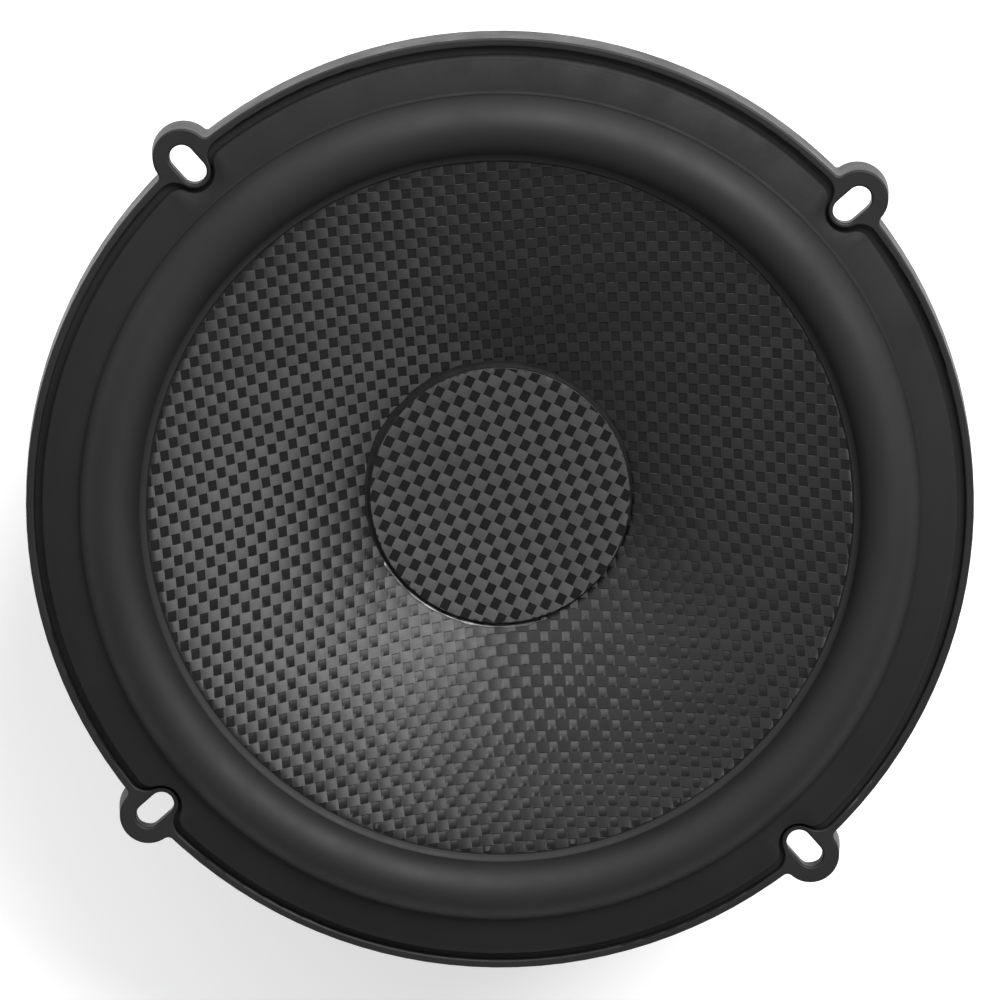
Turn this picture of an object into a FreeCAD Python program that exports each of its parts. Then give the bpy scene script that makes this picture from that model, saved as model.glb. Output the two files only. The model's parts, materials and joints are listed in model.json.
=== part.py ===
import FreeCAD, Part
import math
import os
import re
import Sketcher

V = FreeCAD.Vector

# Driving dimensions in millimetres and degrees.  Radii are measured from the speaker's axis.
# Heights are measured along +Z from the rear (mounting) face of the flange.
SIZES = {
    # flange, ears and mounting slots
    "rim_radius": 79.4,
    "side_draft": 0.5,
    "flange_height": 7.0,
    "lip_width": 1.4,
    "groove_depth": 1.5,
    "edge_round": 0.4,
    "bolt_circle_radius": 78.0,
    "slot_length": 7.2,
    "slot_width": 4.2,
    "ear_wall": 2.75,
    "ear_fillet": 0.6,
    "ear_overlap": 2.0,
    "ear_face": 3.0,
    "relief_gap": 1.0,
    "boss_wall": 0.9,
    "boss_fillet": 3.0,
    "ear_count": 4,
    # basket below the flange
    "spigot_radius": 71.0,
    "spigot_depth": 6.0,
    "wall_thickness": 2.5,
    "throat_radius": 69.3,
    "landing_radius": 50.5,
    "landing_inner_radius": 44.8,
    "landing_depth": 19.0,
    "shelf_thickness": 2.5,
    "base_radius": 45.5,
    "base_bore_radius": 31.0,
    "base_depth": 34.0,
    "base_thickness": 3.0,
    "spoke_count": 6,
    "window_inner_radius": 54.5,
    "window_outer_radius": 66.5,
    "window_half_angle": 24.5,
    "window_corner": 4.0,
    "rib_width": 5.0,
    "rib_height": 3.0,
    "rib_swell": 9.0,
    "vent_half_width": 9.0,
    "vent_height": 5.0,
    # gaskets
    "gasket_radius": 76.7,
    "gasket_inner_radius": 70.15,
    "gasket_rise": 1.2,
    "gasket_round": 0.7,
    "ridge_width": 0.55,
    "ridge_rise": 0.3,
    "notch_gap": 0.5,
    "notch_fillet": 2.5,
    "foam_inner_radius": 71.6,
    "foam_radius": 73.6,
    "foam_thickness": 1.5,
    # surround
    "roll_outer_radius": 70.0,
    "roll_inner_radius": 60.4,
    "lip_inner_radius": 59.2,
    "rubber_thickness": 0.8,
    "lip_thickness": 0.5,
    # cone, cap and glue beads; the cone face is an arc about (flare_reach, -flare_drop)
    "flare_radius": 187.0,
    "flare_reach": 108.1,
    "flare_drop": 172.6,
    "cone_thickness": 0.7,
    "cone_radius": 61.0,
    "cone_flat_radius": 58.6,
    "neck_radius": 16.4,
    "cap_radius": 22.3,
    "cap_height": 0.9,
    "cap_dish": 1.2,
    "cap_thickness": 0.5,
    "bead_width": 1.3,
    "glue_gap": 0.02,
    # voice coil
    "former_radius": 15.9,
    "former_wall": 0.3,
    "former_top": 8.5,
    "former_bottom": 45.0,
    "winding_wall": 0.8,
    "winding_top": 30.0,
    "winding_length": 14.0,
    # spider
    "spider_radius": 49.5,
    "spider_flat_radius": 44.4,
    "spider_collar_radius": 18.0,
    "spider_thickness": 0.5,
    "spider_wave": 1.3,
    "spider_wave_count": 5,
    # motor
    "plate_radius": 43.5,
    "plate_bore_radius": 17.4,
    "plate_thickness": 6.0,
    "magnet_radius": 45.0,
    "magnet_bore_radius": 22.5,
    "magnet_thickness": 15.0,
    "back_plate_thickness": 6.0,
    "back_plate_chamfer": 0.5,
    "pole_radius": 15.5,
    "pole_top": 33.0,
    "copper_length": 11.0,
    "copper_wall": 0.3,
    "vent_radius": 7.0,
    "screen_radius": 9.5,
    "screen_recess": 0.8,
    "screen_thickness": 0.5,
    "screen_hole_radius": 0.75,
    "screen_hole_pitch": 2.2,
    "boot_wall": 2.2,
    "boot_floor": 1.2,
    "boot_opening_radius": 34.0,
    "boot_groove_pitch": 6.0,
    "boot_groove_depth": 0.7,
    "boot_groove_count": 3,
    "boot_round": 1.1,
    "fit_gap": 0.1,
    # screws that hold the basket to the motor
    "screw_circle_radius": 37.0,
    "screw_radius": 1.95,
    "screw_length": 8.5,
    "screw_head_radius": 3.5,
    "screw_head_height": 2.2,
    "socket_radius": 1.5,
    "socket_depth": 1.3,
    # terminals and leads
    "terminal_angle": 210.0,
    "tab_reach": 66.0,
    "tab_half_width": 10.5,
    "tab_top": 21.5,
    "tab_thickness": 2.5,
    "board_inner_reach": 55.8,
    "board_outer_reach": 64.0,
    "board_half_width": 10.0,
    "board_thickness": 1.8,
    "terminal_spacing": 10.0,
    "terminal_base_width": 6.0,
    "terminal_inner_reach": 56.4,
    "terminal_outer_reach": 69.5,
    "terminal_metal": 0.8,
    "wide_blade": 4.8,
    "narrow_blade": 2.8,
    "rivet_reach": 61.4,
    "rivet_radius": 1.4,
    "rivet_head_radius": 2.0,
    "rivet_head_height": 0.9,
    "lead_radius": 0.7,
    "lead_reach": 57.8,
    "lead_bend": 7.0,
    "lead_end_reach": 24.4,
    "lead_rise": 2.2,
    "solder_radius": 1.4,
    "solder_height": 1.1,
    "anchor_radius": 1.3,
    "anchor_reach": 22.9,
    "anchor_depth": 8.2,
}

doc = FreeCAD.newDocument("speaker_driver")
sheet = doc.addObject("Spreadsheet::Sheet", "Sizes")
for row, (alias, number) in enumerate(SIZES.items(), start=1):
    sheet.set(f"A{row}", alias)
    sheet.set(f"B{row}", str(number))
    sheet.setAlias(f"B{row}", alias)
doc.recompute()

# Heights and radii that several pieces share, as formulas in the sheet's words.
LANDING = "(flange_height - groove_depth)"
TRIM_FOOT = f"({LANDING} + rubber_thickness)"
TRIM_TOP = "(flange_height + gasket_rise)"
RIM_BASE = "(rim_radius + side_draft)"
SLOT_SHIFT = "((slot_length - slot_width) / 2)"
EAR_REACH = f"(bolt_circle_radius + {SLOT_SHIFT})"
BOSS_REACH = f"(bolt_circle_radius - {SLOT_SHIFT})"
BOSS_RADIUS = "(slot_width / 2 + boss_wall)"
LIP_INNER = "(rim_radius - lip_width)"
FORMER_OUTER = "(former_radius + former_wall)"
PLATE_TOP = "(-base_depth)"
PLATE_FOOT = "(-base_depth - plate_thickness)"
MAGNET_FOOT = f"({PLATE_FOOT} - magnet_thickness)"
YOKE_FOOT = f"({MAGNET_FOOT} - back_plate_thickness)"
BOARD_FOOT = "(-tab_top)"
BOARD_TOP = f"({BOARD_FOOT} + board_thickness)"
TERMINAL_TOP = f"({BOARD_TOP} + terminal_metal)"
HALF_SPACING = "(terminal_spacing / 2)"
PARTS = []


# ---------------------------------------------------------------- helpers

def on_sheet(formula):
    """The formula with each of the sheet's words given its sheet name, ready for setExpression."""
    return re.sub(r"[a-z][a-z_]+[a-z]",
                  lambda word: "Sizes." + word.group(0) if word.group(0) in SIZES else word.group(0),
                  str(formula))


def value(formula):
    """The formula's number now, used to draw a sketch close to its solved shape."""
    result = sheet.evalExpression(str(formula))
    return float(getattr(result, "Value", result))


def bind(thing, prop, formula):
    thing.setExpression(prop, on_sheet(formula))


def at_angle(radius, angle):
    """A point's two formulas from its radius and its angle in degrees."""
    return f"({radius}) * cos({angle})", f"({radius}) * sin({angle})"


def mirrored(point):
    return point[0], f"-({point[1]})"


def new_body(label):
    body = doc.addObject("PartDesign::Body", label)
    body.Label = label
    PARTS.append(body)
    return body


def plane_of(body, role):
    return next(item for item in body.Origin.OriginFeatures if item.Role == role)


def sketch_on(body, role, name, offset="0", turn="0"):
    """A sketch on one of the body's own origin planes, lifted by offset and turned about Z by turn degrees."""
    sketch = body.newObject("Sketcher::SketchObject", name)
    sketch.AttachmentSupport = [(plane_of(body, role), "")]
    sketch.MapMode = "FlatFace"
    up = V(0, 0, 1) if role == "XY_Plane" else V(0, 1, 0)
    spin = FreeCAD.Rotation(up, value(turn))
    sketch.AttachmentOffset = FreeCAD.Placement(V(0, 0, value(offset)), spin)
    if offset != "0":
        bind(sketch, ".AttachmentOffset.Base.z", offset)
    if turn != "0":
        bind(sketch, ".AttachmentOffset.Rotation.Angle", turn)
    return sketch


def hold(sketch, kind, places, formula):
    """Add one driven constraint and bind it to its formula."""
    number = sketch.addConstraint(Sketcher.Constraint(kind, *places, value(formula)))
    sketch.setExpression(f"Constraints[{number}]", on_sheet(formula))


def arc_between(start, end, radius, turn):
    """The minor arc from start to end that turns left (anticlockwise) or right."""
    chord = end - start
    side = V(-chord.y, chord.x, 0).normalize()
    if turn == "right":
        side = -side
    height = math.sqrt(max(radius ** 2 - (chord.Length / 2) ** 2, 0.0))
    center = (start + end) * 0.5 + side * height
    first, last = (start, end) if turn == "left" else (end, start)
    angles = [math.atan2(point.y - center.y, point.x - center.x) for point in (first, last)]
    return Part.ArcOfCircle(Part.Circle(center, V(0, 0, 1), radius), *angles)


def hold_arc(sketch, edge, corner):
    """Fix an arc's size: by its radius, or by its centre where it is an upright or level half circle."""
    arc = sketch.Geometry[edge]
    chord = arc.EndPoint - arc.StartPoint
    if chord.Length < 2 * arc.Radius - 1e-6:
        hold(sketch, "Radius", (edge,), corner[2])
    elif abs(chord.x) < abs(chord.y):
        hold(sketch, "DistanceX", (-1, 1, edge, 3), corner[0])
    else:
        hold(sketch, "DistanceY", (-1, 1, edge, 3), corner[1])


def draw_path(sketch, corners, closed=True):
    """Lines and arcs through the corners, each corner held by its two formulas.

    A corner is (x, y) for a line that ends there, or (x, y, radius, turn) for an arc that ends there.
    """
    points = [V(value(corner[0]), value(corner[1]), 0) for corner in corners]
    segments = []
    for index, corner in enumerate(corners):
        if index == 0 and not closed:
            continue
        start, end = points[index - 1], points[index]
        if len(corner) == 2:
            segments.append((sketch.addGeometry(Part.LineSegment(start, end), False), 1, 2, corner))
            continue
        edge = sketch.addGeometry(arc_between(start, end, value(corner[2]), corner[3]), False)
        first, last = (1, 2) if corner[3] == "left" else (2, 1)
        segments.append((edge, first, last, corner))
    pairs = list(zip(segments, segments[1:]))
    if closed:
        pairs.append((segments[-1], segments[0]))
    for (edge, _, end, _), (following, start, _, _) in pairs:
        sketch.addConstraint(Sketcher.Constraint("Coincident", edge, end, following, start))
    for edge, _, end, corner in segments:
        hold(sketch, "DistanceX", (-1, 1, edge, end), corner[0])
        hold(sketch, "DistanceY", (-1, 1, edge, end), corner[1])
        if len(corner) > 2:
            hold_arc(sketch, edge, corner)
    if not closed:
        edge, start, _, _ = segments[0]
        hold(sketch, "DistanceX", (-1, 1, edge, start), corners[0][0])
        hold(sketch, "DistanceY", (-1, 1, edge, start), corners[0][1])


def draw_circle(sketch, x, y, radius):
    edge = sketch.addGeometry(Part.Circle(V(value(x), value(y), 0), V(0, 0, 1), value(radius)), False)
    hold(sketch, "DistanceX", (-1, 1, edge, 3), x)
    hold(sketch, "DistanceY", (-1, 1, edge, 3), y)
    hold(sketch, "Radius", (edge,), radius)


def draw_rectangle(sketch, low_x, low_y, high_x, high_y):
    draw_path(sketch, [(low_x, low_y), (high_x, low_y), (high_x, high_y), (low_x, high_y)])


def revolve(body, sketch):
    feature = body.newObject("PartDesign::Revolution", sketch.Name + "_turned")
    feature.Profile = sketch
    feature.ReferenceAxis = (sketch, ["V_Axis"])
    feature.Angle = 360
    return feature


def turned_part(label, corners):
    """A piece turned about Z from one section, given as (radius, height) corners."""
    body = new_body(label)
    sketch = sketch_on(body, "XZ_Plane", label + "_section")
    draw_path(sketch, corners)
    revolve(body, sketch)
    return body


def pad(body, sketch, length, taper=None, both_ways=False):
    feature = body.newObject("PartDesign::Pad", sketch.Name + "_pad")
    feature.Profile = sketch
    bind(feature, "Length", length)
    feature.Midplane = both_ways
    if taper:
        bind(feature, "TaperAngle", taper)
    return feature


def pocket(body, sketch, length, reverse=False):
    """Cut the sketch into the body, and stop if the cut removed nothing."""
    doc.recompute()
    before = body.Shape.Volume
    feature = body.newObject("PartDesign::Pocket", sketch.Name + "_cut")
    feature.Profile = sketch
    bind(feature, "Length", length)
    feature.Reversed = reverse
    doc.recompute()
    if body.Shape.Volume > before - 0.001:
        raise RuntimeError(f"{sketch.Name} cuts nothing")
    return feature


def cut_turned(body, sketch):
    """Cut the sketch's ring out of the body, and stop if the cut removed nothing."""
    doc.recompute()
    before = body.Shape.Volume
    feature = body.newObject("PartDesign::Groove", sketch.Name + "_cut")
    feature.Profile = sketch
    feature.ReferenceAxis = (sketch, ["V_Axis"])
    feature.Angle = 360
    body.Tip = feature
    doc.recompute()
    if body.Shape.Volume > before - 0.001:
        raise RuntimeError(f"{sketch.Name} cuts nothing")


def ring_pattern(body, features, count):
    """Repeat the features evenly round the Z axis."""
    pattern = body.newObject("PartDesign::PolarPattern", features[0].Name + "_ring")
    pattern.Originals = features
    pattern.Axis = (plane_of(body, "Z_Axis"), [""])
    pattern.Angle = 360
    bind(pattern, "Occurrences", count)
    body.Tip = pattern
    return pattern


def round_edges(body, name, radius, wanted):
    """Fillet each edge of the body's present shape that wanted(edge) picks."""
    doc.recompute()
    edges = [f"Edge{number}" for number, edge in enumerate(body.Shape.Edges, start=1) if wanted(edge)]
    base = body.Tip
    feature = body.newObject("PartDesign::Fillet", name)
    feature.Base = (base, edges)
    bind(feature, "Radius", radius)
    body.Tip = feature
    return feature


def is_flange_top(edge):
    """Whether an edge lies in the flange's top face, as those of the rim, lip, bosses and slots do."""
    box = edge.BoundBox
    height = value("flange_height")
    return abs(box.ZMin - height) < 0.01 and abs(box.ZMax - height) < 0.01


def cone_face(radius, depth="0"):
    """Height of the cone's front face at a radius, or of the surface that lies depth behind it."""
    return f"(sqrt((flare_radius - {depth})^2 - (({radius}) - flare_reach)^2) - flare_drop)"


CONE_EDGE = cone_face("cone_flat_radius")
CAP_EDGE = f"({cone_face('cap_radius')} + cap_height)"


# ---------------------------------------------------------------- basket

def tangent_angle(center_reach, near_radius, far_radius):
    """Cosine of the angle at which a fillet centre stands, given its distances from both circles' centres."""
    return (f"((({center_reach})^2 + ({near_radius})^2 - ({far_radius})^2)"
            f" / (2 * ({center_reach}) * ({near_radius})))")


def fillet_points(circle, center_reach, round_radius, fillet, sign):
    """Where a fillet leaves a circle about the axis, and where it meets a round about (center_reach, 0).

    sign is + when the fillet lies outside the circle about the axis, - when it lies inside.
    """
    near = f"(({circle}) {sign} ({fillet}))"
    far = f"(({round_radius}) + ({fillet}))"
    cosine = tangent_angle(center_reach, near, far)
    sine = f"sqrt(1 - ({cosine})^2)"
    on_circle = (f"({circle}) * {cosine}", f"({circle}) * {sine}")
    share = f"(({round_radius}) / {far})"
    on_round = (f"({center_reach}) + ({near} * {cosine} - ({center_reach})) * {share}",
                f"{near} * {sine} * {share}")
    return on_circle, on_round


def add_ears(body):
    """Four drafted ears, blended into the rim, with a low boss inside each one, blended into the lip."""
    ear_radius = "(slot_width / 2 + ear_wall + side_draft)"
    on_rim, on_ear = fillet_points(RIM_BASE, EAR_REACH, ear_radius, "ear_fillet", "+")
    end_angle = f"(atan(({on_rim[1]}) / ({on_rim[0]})) + ear_overlap * 1 deg)"
    rim_end = at_angle(RIM_BASE, end_angle)
    inner_end = at_angle("(rim_radius - lip_width / 2)", end_angle)
    ear = sketch_on(body, "XY_Plane", "ear")
    draw_path(ear, [
        (*mirrored(on_rim), RIM_BASE, "left"),
        (*mirrored(on_ear), "ear_fillet", "right"),
        (*on_ear, ear_radius, "left"),
        (*on_rim, "ear_fillet", "right"),
        (*rim_end, RIM_BASE, "left"),
        inner_end,
        (*mirrored(inner_end), "rim_radius - lip_width / 2", "right"),
        mirrored(rim_end),
    ])
    ear_pad = pad(body, ear, "flange_height", taper="-atan(side_draft / flange_height)")
    on_lip, on_boss = fillet_points(LIP_INNER, BOSS_REACH, BOSS_RADIUS, "boss_fillet", "-")
    lip_angle = f"(atan(({on_lip[1]}) / ({on_lip[0]})) + ear_overlap * 1 deg)"
    lip_end = at_angle(LIP_INNER, lip_angle)
    outer_end = at_angle("(rim_radius - lip_width / 2)", lip_angle)
    boss = sketch_on(body, "XY_Plane", "slot_boss", offset=LANDING)
    draw_path(boss, [
        (*mirrored(outer_end), "rim_radius - lip_width / 2", "left"),
        outer_end,
        lip_end,
        (*on_lip, LIP_INNER, "right"),
        (*on_boss, "boss_fillet", "right"),
        (*mirrored(on_boss), BOSS_RADIUS, "left"),
        (*mirrored(on_lip), "boss_fillet", "right"),
        (*mirrored(lip_end), LIP_INNER, "right"),
    ])
    boss_pad = pad(body, boss, "groove_depth")
    ring_pattern(body, [ear_pad, boss_pad], "ear_count")


def draw_slot(sketch, half):
    """A radial slot of the given half width round both ends of the mounting slot."""
    draw_path(sketch, [
        (BOSS_REACH, f"-({half})", half, "left"),
        (EAR_REACH, f"-({half})"),
        (EAR_REACH, half, half, "left"),
        (BOSS_REACH, half),
    ])


def cut_slots(body):
    """Mounting slots through the ears, wider behind, so that each ear is a thin face with a skirt."""
    slot = sketch_on(body, "XY_Plane", "mounting_slot", offset="flange_height")
    draw_slot(slot, "slot_width / 2")
    slot_cut = pocket(body, slot, "flange_height")
    relief = sketch_on(body, "XY_Plane", "slot_relief")
    draw_slot(relief, "slot_width / 2 + relief_gap")
    relief_cut = pocket(body, relief, "flange_height - ear_face", reverse=True)
    ring_pattern(body, [slot_cut, relief_cut], "ear_count")


def cut_windows(body):
    """Openings in the bowl, with rounded corners, one between each two spokes."""
    window = sketch_on(body, "XY_Plane", "window", offset="-spigot_depth / 2", turn="180 / spoke_count")
    inner, outer, corner = "window_inner_radius", "window_outer_radius", "window_corner"
    outer_bend = f"(window_half_angle * 1 deg - asin({corner} / ({outer} - {corner})))"
    inner_bend = f"(window_half_angle * 1 deg - asin({corner} / ({inner} + {corner})))"
    outer_side = at_angle(f"sqrt(({outer} - {corner})^2 - {corner}^2)", "window_half_angle")
    inner_side = at_angle(f"sqrt(({inner} + {corner})^2 - {corner}^2)", "window_half_angle")
    outer_end = at_angle(outer, outer_bend)
    inner_end = at_angle(inner, inner_bend)
    draw_path(window, [
        mirrored(outer_side),
        (*mirrored(outer_end), corner, "left"),
        (*outer_end, outer, "left"),
        (*outer_side, corner, "left"),
        inner_side,
        (*inner_end, corner, "left"),
        (*mirrored(inner_end), inner, "right"),
        (*mirrored(inner_side), corner, "left"),
    ])
    ring_pattern(body, [pocket(body, window, "base_depth")], "spoke_count")


def add_ribs(body):
    """A stiffening rib down the outside of each spoke."""
    rib = sketch_on(body, "XZ_Plane", "spoke_rib")
    inset = "wall_thickness / 2"
    draw_path(rib, [
        (f"spigot_radius - {inset}", "-spigot_depth"),
        ("spigot_radius - side_draft", "-spigot_depth - rib_height"),
        ("landing_radius + rib_height * 2", "-landing_depth - shelf_thickness - rib_height"),
        ("base_radius + rib_height", "-landing_depth - shelf_thickness - rib_swell"),
        ("base_radius + side_draft", "-base_depth"),
        (f"base_radius - {inset}", "-base_depth"),
        (f"base_radius - {inset}", "-landing_depth - shelf_thickness"),
        ("landing_radius", "-landing_depth - wall_thickness / 4"),
    ])
    ring_pattern(body, [pad(body, rib, "rib_width", both_ways=True)], "spoke_count")


def cut_spider_vents(body):
    """Slots through the lower wall that let air out from under the spider."""
    vent = sketch_on(body, "YZ_Plane", "spider_vent", turn="180 / spoke_count")
    middle = "(-(landing_depth + shelf_thickness + base_depth - base_thickness) / 2)"
    half, end = "(vent_height / 2)", "(vent_half_width - vent_height / 2)"
    draw_path(vent, [
        (f"-{end}", f"{middle} - {half}", half, "left"),
        (end, f"{middle} - {half}"),
        (end, f"{middle} + {half}", half, "left"),
        (f"-{end}", f"{middle} + {half}"),
    ])
    ring_pattern(body, [pocket(body, vent, "spigot_radius", reverse=True)], "spoke_count")


def add_terminal_tab(body):
    tab = sketch_on(body, "XY_Plane", "terminal_tab", offset="-tab_top", turn="terminal_angle")
    draw_rectangle(tab, "landing_radius + wall_thickness / 2", "-tab_half_width", "tab_reach", "tab_half_width")
    feature = pad(body, tab, "tab_thickness")
    feature.Reversed = True
    body.Tip = feature
    holes = sketch_on(body, "XY_Plane", "rivet_holes", offset="-tab_top", turn="terminal_angle")
    draw_rivet_circles(holes, "rivet_radius + fit_gap")
    body.Tip = pocket(body, holes, "tab_thickness * 2")


def draw_rivet_circles(sketch, radius):
    for side in ("", "-"):
        draw_circle(sketch, "rivet_reach", side + HALF_SPACING, radius)


def draw_screw_circle(sketch, radius):
    draw_circle(sketch, "screw_circle_radius", "0", radius)


def make_basket():
    """Cast frame: flange and rim, open bowl with spokes, spider landing and motor seat."""
    body = new_body("basket")
    section = sketch_on(body, "XZ_Plane", "basket_section")
    draw_path(section, [
        ("spigot_radius", "0"),
        ("foam_inner_radius", "0"),
        ("foam_inner_radius", "foam_thickness"),
        ("foam_radius", "foam_thickness"),
        ("foam_radius", "0"),
        (RIM_BASE, "0"),
        ("rim_radius", "flange_height"),
        (LIP_INNER, "flange_height"),
        (LIP_INNER, LANDING),
        ("throat_radius", LANDING),
        ("throat_radius - rubber_thickness", f"{LANDING} - rubber_thickness"),
        ("throat_radius - rubber_thickness", "-spigot_depth + wall_thickness / 2"),
        ("landing_radius", "-landing_depth"),
        ("landing_inner_radius", "-landing_depth"),
        ("landing_inner_radius", "-landing_depth - shelf_thickness"),
        ("landing_inner_radius - side_draft * 2", "-base_depth + base_thickness"),
        ("base_bore_radius", "-base_depth + base_thickness"),
        ("base_bore_radius", "-base_depth"),
        ("base_radius", "-base_depth"),
        ("base_radius + side_draft * 2", "-landing_depth - shelf_thickness * 2"),
        ("landing_radius + wall_thickness", "-landing_depth - shelf_thickness + side_draft"),
        ("spigot_radius", "-spigot_depth"),
    ])
    body.Tip = revolve(body, section)
    add_ears(body)
    cut_slots(body)
    cut_windows(body)
    add_ribs(body)
    cut_spider_vents(body)
    screw_hole = sketch_on(body, "XY_Plane", "screw_hole", offset="-base_depth + base_thickness")
    draw_screw_circle(screw_hole, "screw_radius + fit_gap / 2")
    ring_pattern(body, [pocket(body, screw_hole, "base_thickness")], "spoke_count")
    add_terminal_tab(body)
    round_edges(body, "flange_rounding", "edge_round", is_flange_top)


# ---------------------------------------------------------------- gaskets, surround and spider

def cut_notches(body):
    """Rounded notches in a ring's outer edge, one round each slot boss."""
    notch_radius = f"({BOSS_RADIUS} + notch_gap)"
    on_edge, on_notch = fillet_points("gasket_radius", BOSS_REACH, notch_radius, "notch_fillet", "-")
    notch = sketch_on(body, "XY_Plane", "notch", offset="flange_height * 2")
    draw_path(notch, [
        (*mirrored(on_edge), "notch_fillet", "right"),
        ("rim_radius", f"-({on_edge[1]})"),
        ("rim_radius", on_edge[1]),
        on_edge,
        (*on_notch, "notch_fillet", "right"),
        (*mirrored(on_notch), notch_radius, "left"),
    ])
    ring_pattern(body, [pocket(body, notch, "flange_height * 2")], "ear_count")


def make_front_gasket():
    """Flat trim ring over the surround's outer edge, notched round each slot boss."""
    body = turned_part("front_gasket", [
        ("gasket_inner_radius", TRIM_FOOT),
        ("gasket_radius", TRIM_FOOT),
        ("gasket_radius", f"{TRIM_TOP} - gasket_round"),
        ("gasket_radius - gasket_round", TRIM_TOP, "gasket_round", "left"),
        ("gasket_inner_radius + ridge_width", TRIM_TOP),
        ("gasket_inner_radius + ridge_width", f"{TRIM_TOP} + ridge_rise"),
        ("gasket_inner_radius", f"{TRIM_TOP} + ridge_rise"),
    ])
    cut_notches(body)


def make_rear_gasket():
    """Foam ring in the recess behind the flange, flush with the mounting face and cut back at the slots."""
    body = turned_part("rear_gasket", [
        ("foam_inner_radius + fit_gap", "0"),
        ("foam_radius - fit_gap", "0"),
        ("foam_radius - fit_gap", "foam_thickness"),
        ("foam_inner_radius + fit_gap", "foam_thickness"),
    ])
    cut = sketch_on(body, "XY_Plane", "foam_cut")
    draw_circle(cut, BOSS_REACH, "0", "slot_width / 2 + relief_gap + fit_gap")
    ring_pattern(body, [pocket(body, cut, "foam_thickness", reverse=True)], "ear_count")


def make_surround():
    """Half-roll of rubber from a lip on the cone to a flat, notched flange under the trim ring."""
    lip_top = f"({CONE_EDGE} + lip_thickness)"
    roll_radius = "((roll_outer_radius - roll_inner_radius) / 2)"
    body = turned_part("surround", [
        ("lip_inner_radius", CONE_EDGE),
        ("roll_inner_radius + rubber_thickness", CONE_EDGE),
        ("roll_inner_radius + rubber_thickness", lip_top),
        ("roll_outer_radius - rubber_thickness", lip_top, f"{roll_radius} - rubber_thickness", "right"),
        ("roll_outer_radius - rubber_thickness", LANDING),
        ("gasket_radius", LANDING),
        ("gasket_radius", TRIM_FOOT),
        ("roll_outer_radius", TRIM_FOOT),
        ("roll_outer_radius", lip_top),
        ("roll_inner_radius", lip_top, roll_radius, "left"),
        ("lip_inner_radius", lip_top),
    ])
    cut_notches(body)


def make_spider():
    """Corrugated cloth disc between the coil former and the basket's landing."""
    top = "(-landing_depth + spider_thickness)"
    pitch = "((spider_flat_radius - spider_collar_radius) / spider_wave_count)"
    half = f"({pitch} / 4)"
    bend = f"(({half}^2 + (spider_wave / 2)^2) / spider_wave)"
    section = [(f"{FORMER_OUTER} + glue_gap", "-landing_depth"), (f"{FORMER_OUTER} + glue_gap", top)]
    section.append(("spider_collar_radius", top))
    lower = []
    for wave in range(SIZES["spider_wave_count"]):
        start = f"spider_collar_radius + {pitch} * {wave}"
        for step, turn in ((1, "right"), (3, "left")):
            middle = f"{start} + {half} * {step}"
            height = "spider_wave / 2" if turn == "right" else "-spider_wave / 2"
            for reach, level in ((middle, height), (f"{start} + {half} * {step + 1}", "0")):
                section.append((reach, f"{top} + {level}", bend, turn))
            back = "left" if turn == "right" else "right"
            lower.append((f"{start} + {half} * {step}", f"-landing_depth + {height}", bend, back))
            lower.append((f"{start} + {half} * {step - 1}", "-landing_depth", bend, back))
    section += [("spider_radius", top), ("spider_radius", "-landing_depth"), ("spider_flat_radius", "-landing_depth")]
    for pair in range(len(lower) - 2, -1, -2):
        section += lower[pair:pair + 2]
    turned_part("spider", section)


# ---------------------------------------------------------------- cone assembly

def make_cone():
    """Flared woven cone with a flat edge that the surround is bonded to."""
    back = "flare_radius - cone_thickness"
    turned_part("cone", [
        ("neck_radius", cone_face("neck_radius")),
        ("cone_flat_radius", CONE_EDGE, "flare_radius", "right"),
        ("cone_radius", CONE_EDGE),
        ("cone_radius", f"{CONE_EDGE} - cone_thickness"),
        ("cone_flat_radius", cone_face("cone_flat_radius", "cone_thickness")),
        ("neck_radius", cone_face("neck_radius", "cone_thickness"), back, "left"),
    ])


def make_dust_cap():
    """Woven cap with a shallow dished face and a short skirt that stands on the cone."""
    rim = "(cap_radius - cap_thickness)"
    dish_radius = f"(({rim}^2 + cap_dish^2) / (2 * cap_dish))"
    turned_part("dust_cap", [
        ("0", f"{CAP_EDGE} - cap_dish"),
        (rim, CAP_EDGE, dish_radius, "left"),
        ("cap_radius", CAP_EDGE),
        ("cap_radius", f"{cone_face('cap_radius')} + glue_gap"),
        (rim, f"{cone_face(rim)} + glue_gap"),
        (rim, f"{CAP_EDGE} - cap_thickness"),
        ("0", f"{CAP_EDGE} - cap_dish - cap_thickness", dish_radius, "right"),
    ])


def make_cap_bead():
    """Glue fillet in the corner between the cap's skirt and the cone."""
    inner = "(cap_radius + glue_gap)"
    outer = "(cap_radius + bead_width)"
    turned_part("cap_bead", [
        (inner, f"{cone_face(inner)} + glue_gap"),
        (outer, f"{cone_face(outer)} + glue_gap"),
        (inner, f"{CAP_EDGE} - glue_gap", "bead_width * 2", "right"),
    ])


def make_neck_bead():
    """Glue fillet in the corner between the coil former and the cone, under the cap."""
    inner = f"({FORMER_OUTER} + glue_gap)"
    outer = "(neck_radius + bead_width)"
    turned_part("neck_bead", [
        (inner, f"{cone_face('neck_radius')} + fit_gap"),
        ("neck_radius", f"{cone_face('neck_radius')} + fit_gap"),
        (outer, f"{cone_face(outer)} + fit_gap * 2"),
        (inner, f"{cone_face(outer)} + fit_gap * 2"),
    ])


def make_coil_former():
    turned_part("coil_former", [
        ("former_radius", "-former_bottom"),
        (FORMER_OUTER, "-former_bottom"),
        (FORMER_OUTER, "-former_top"),
        ("former_radius", "-former_top"),
    ])


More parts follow.
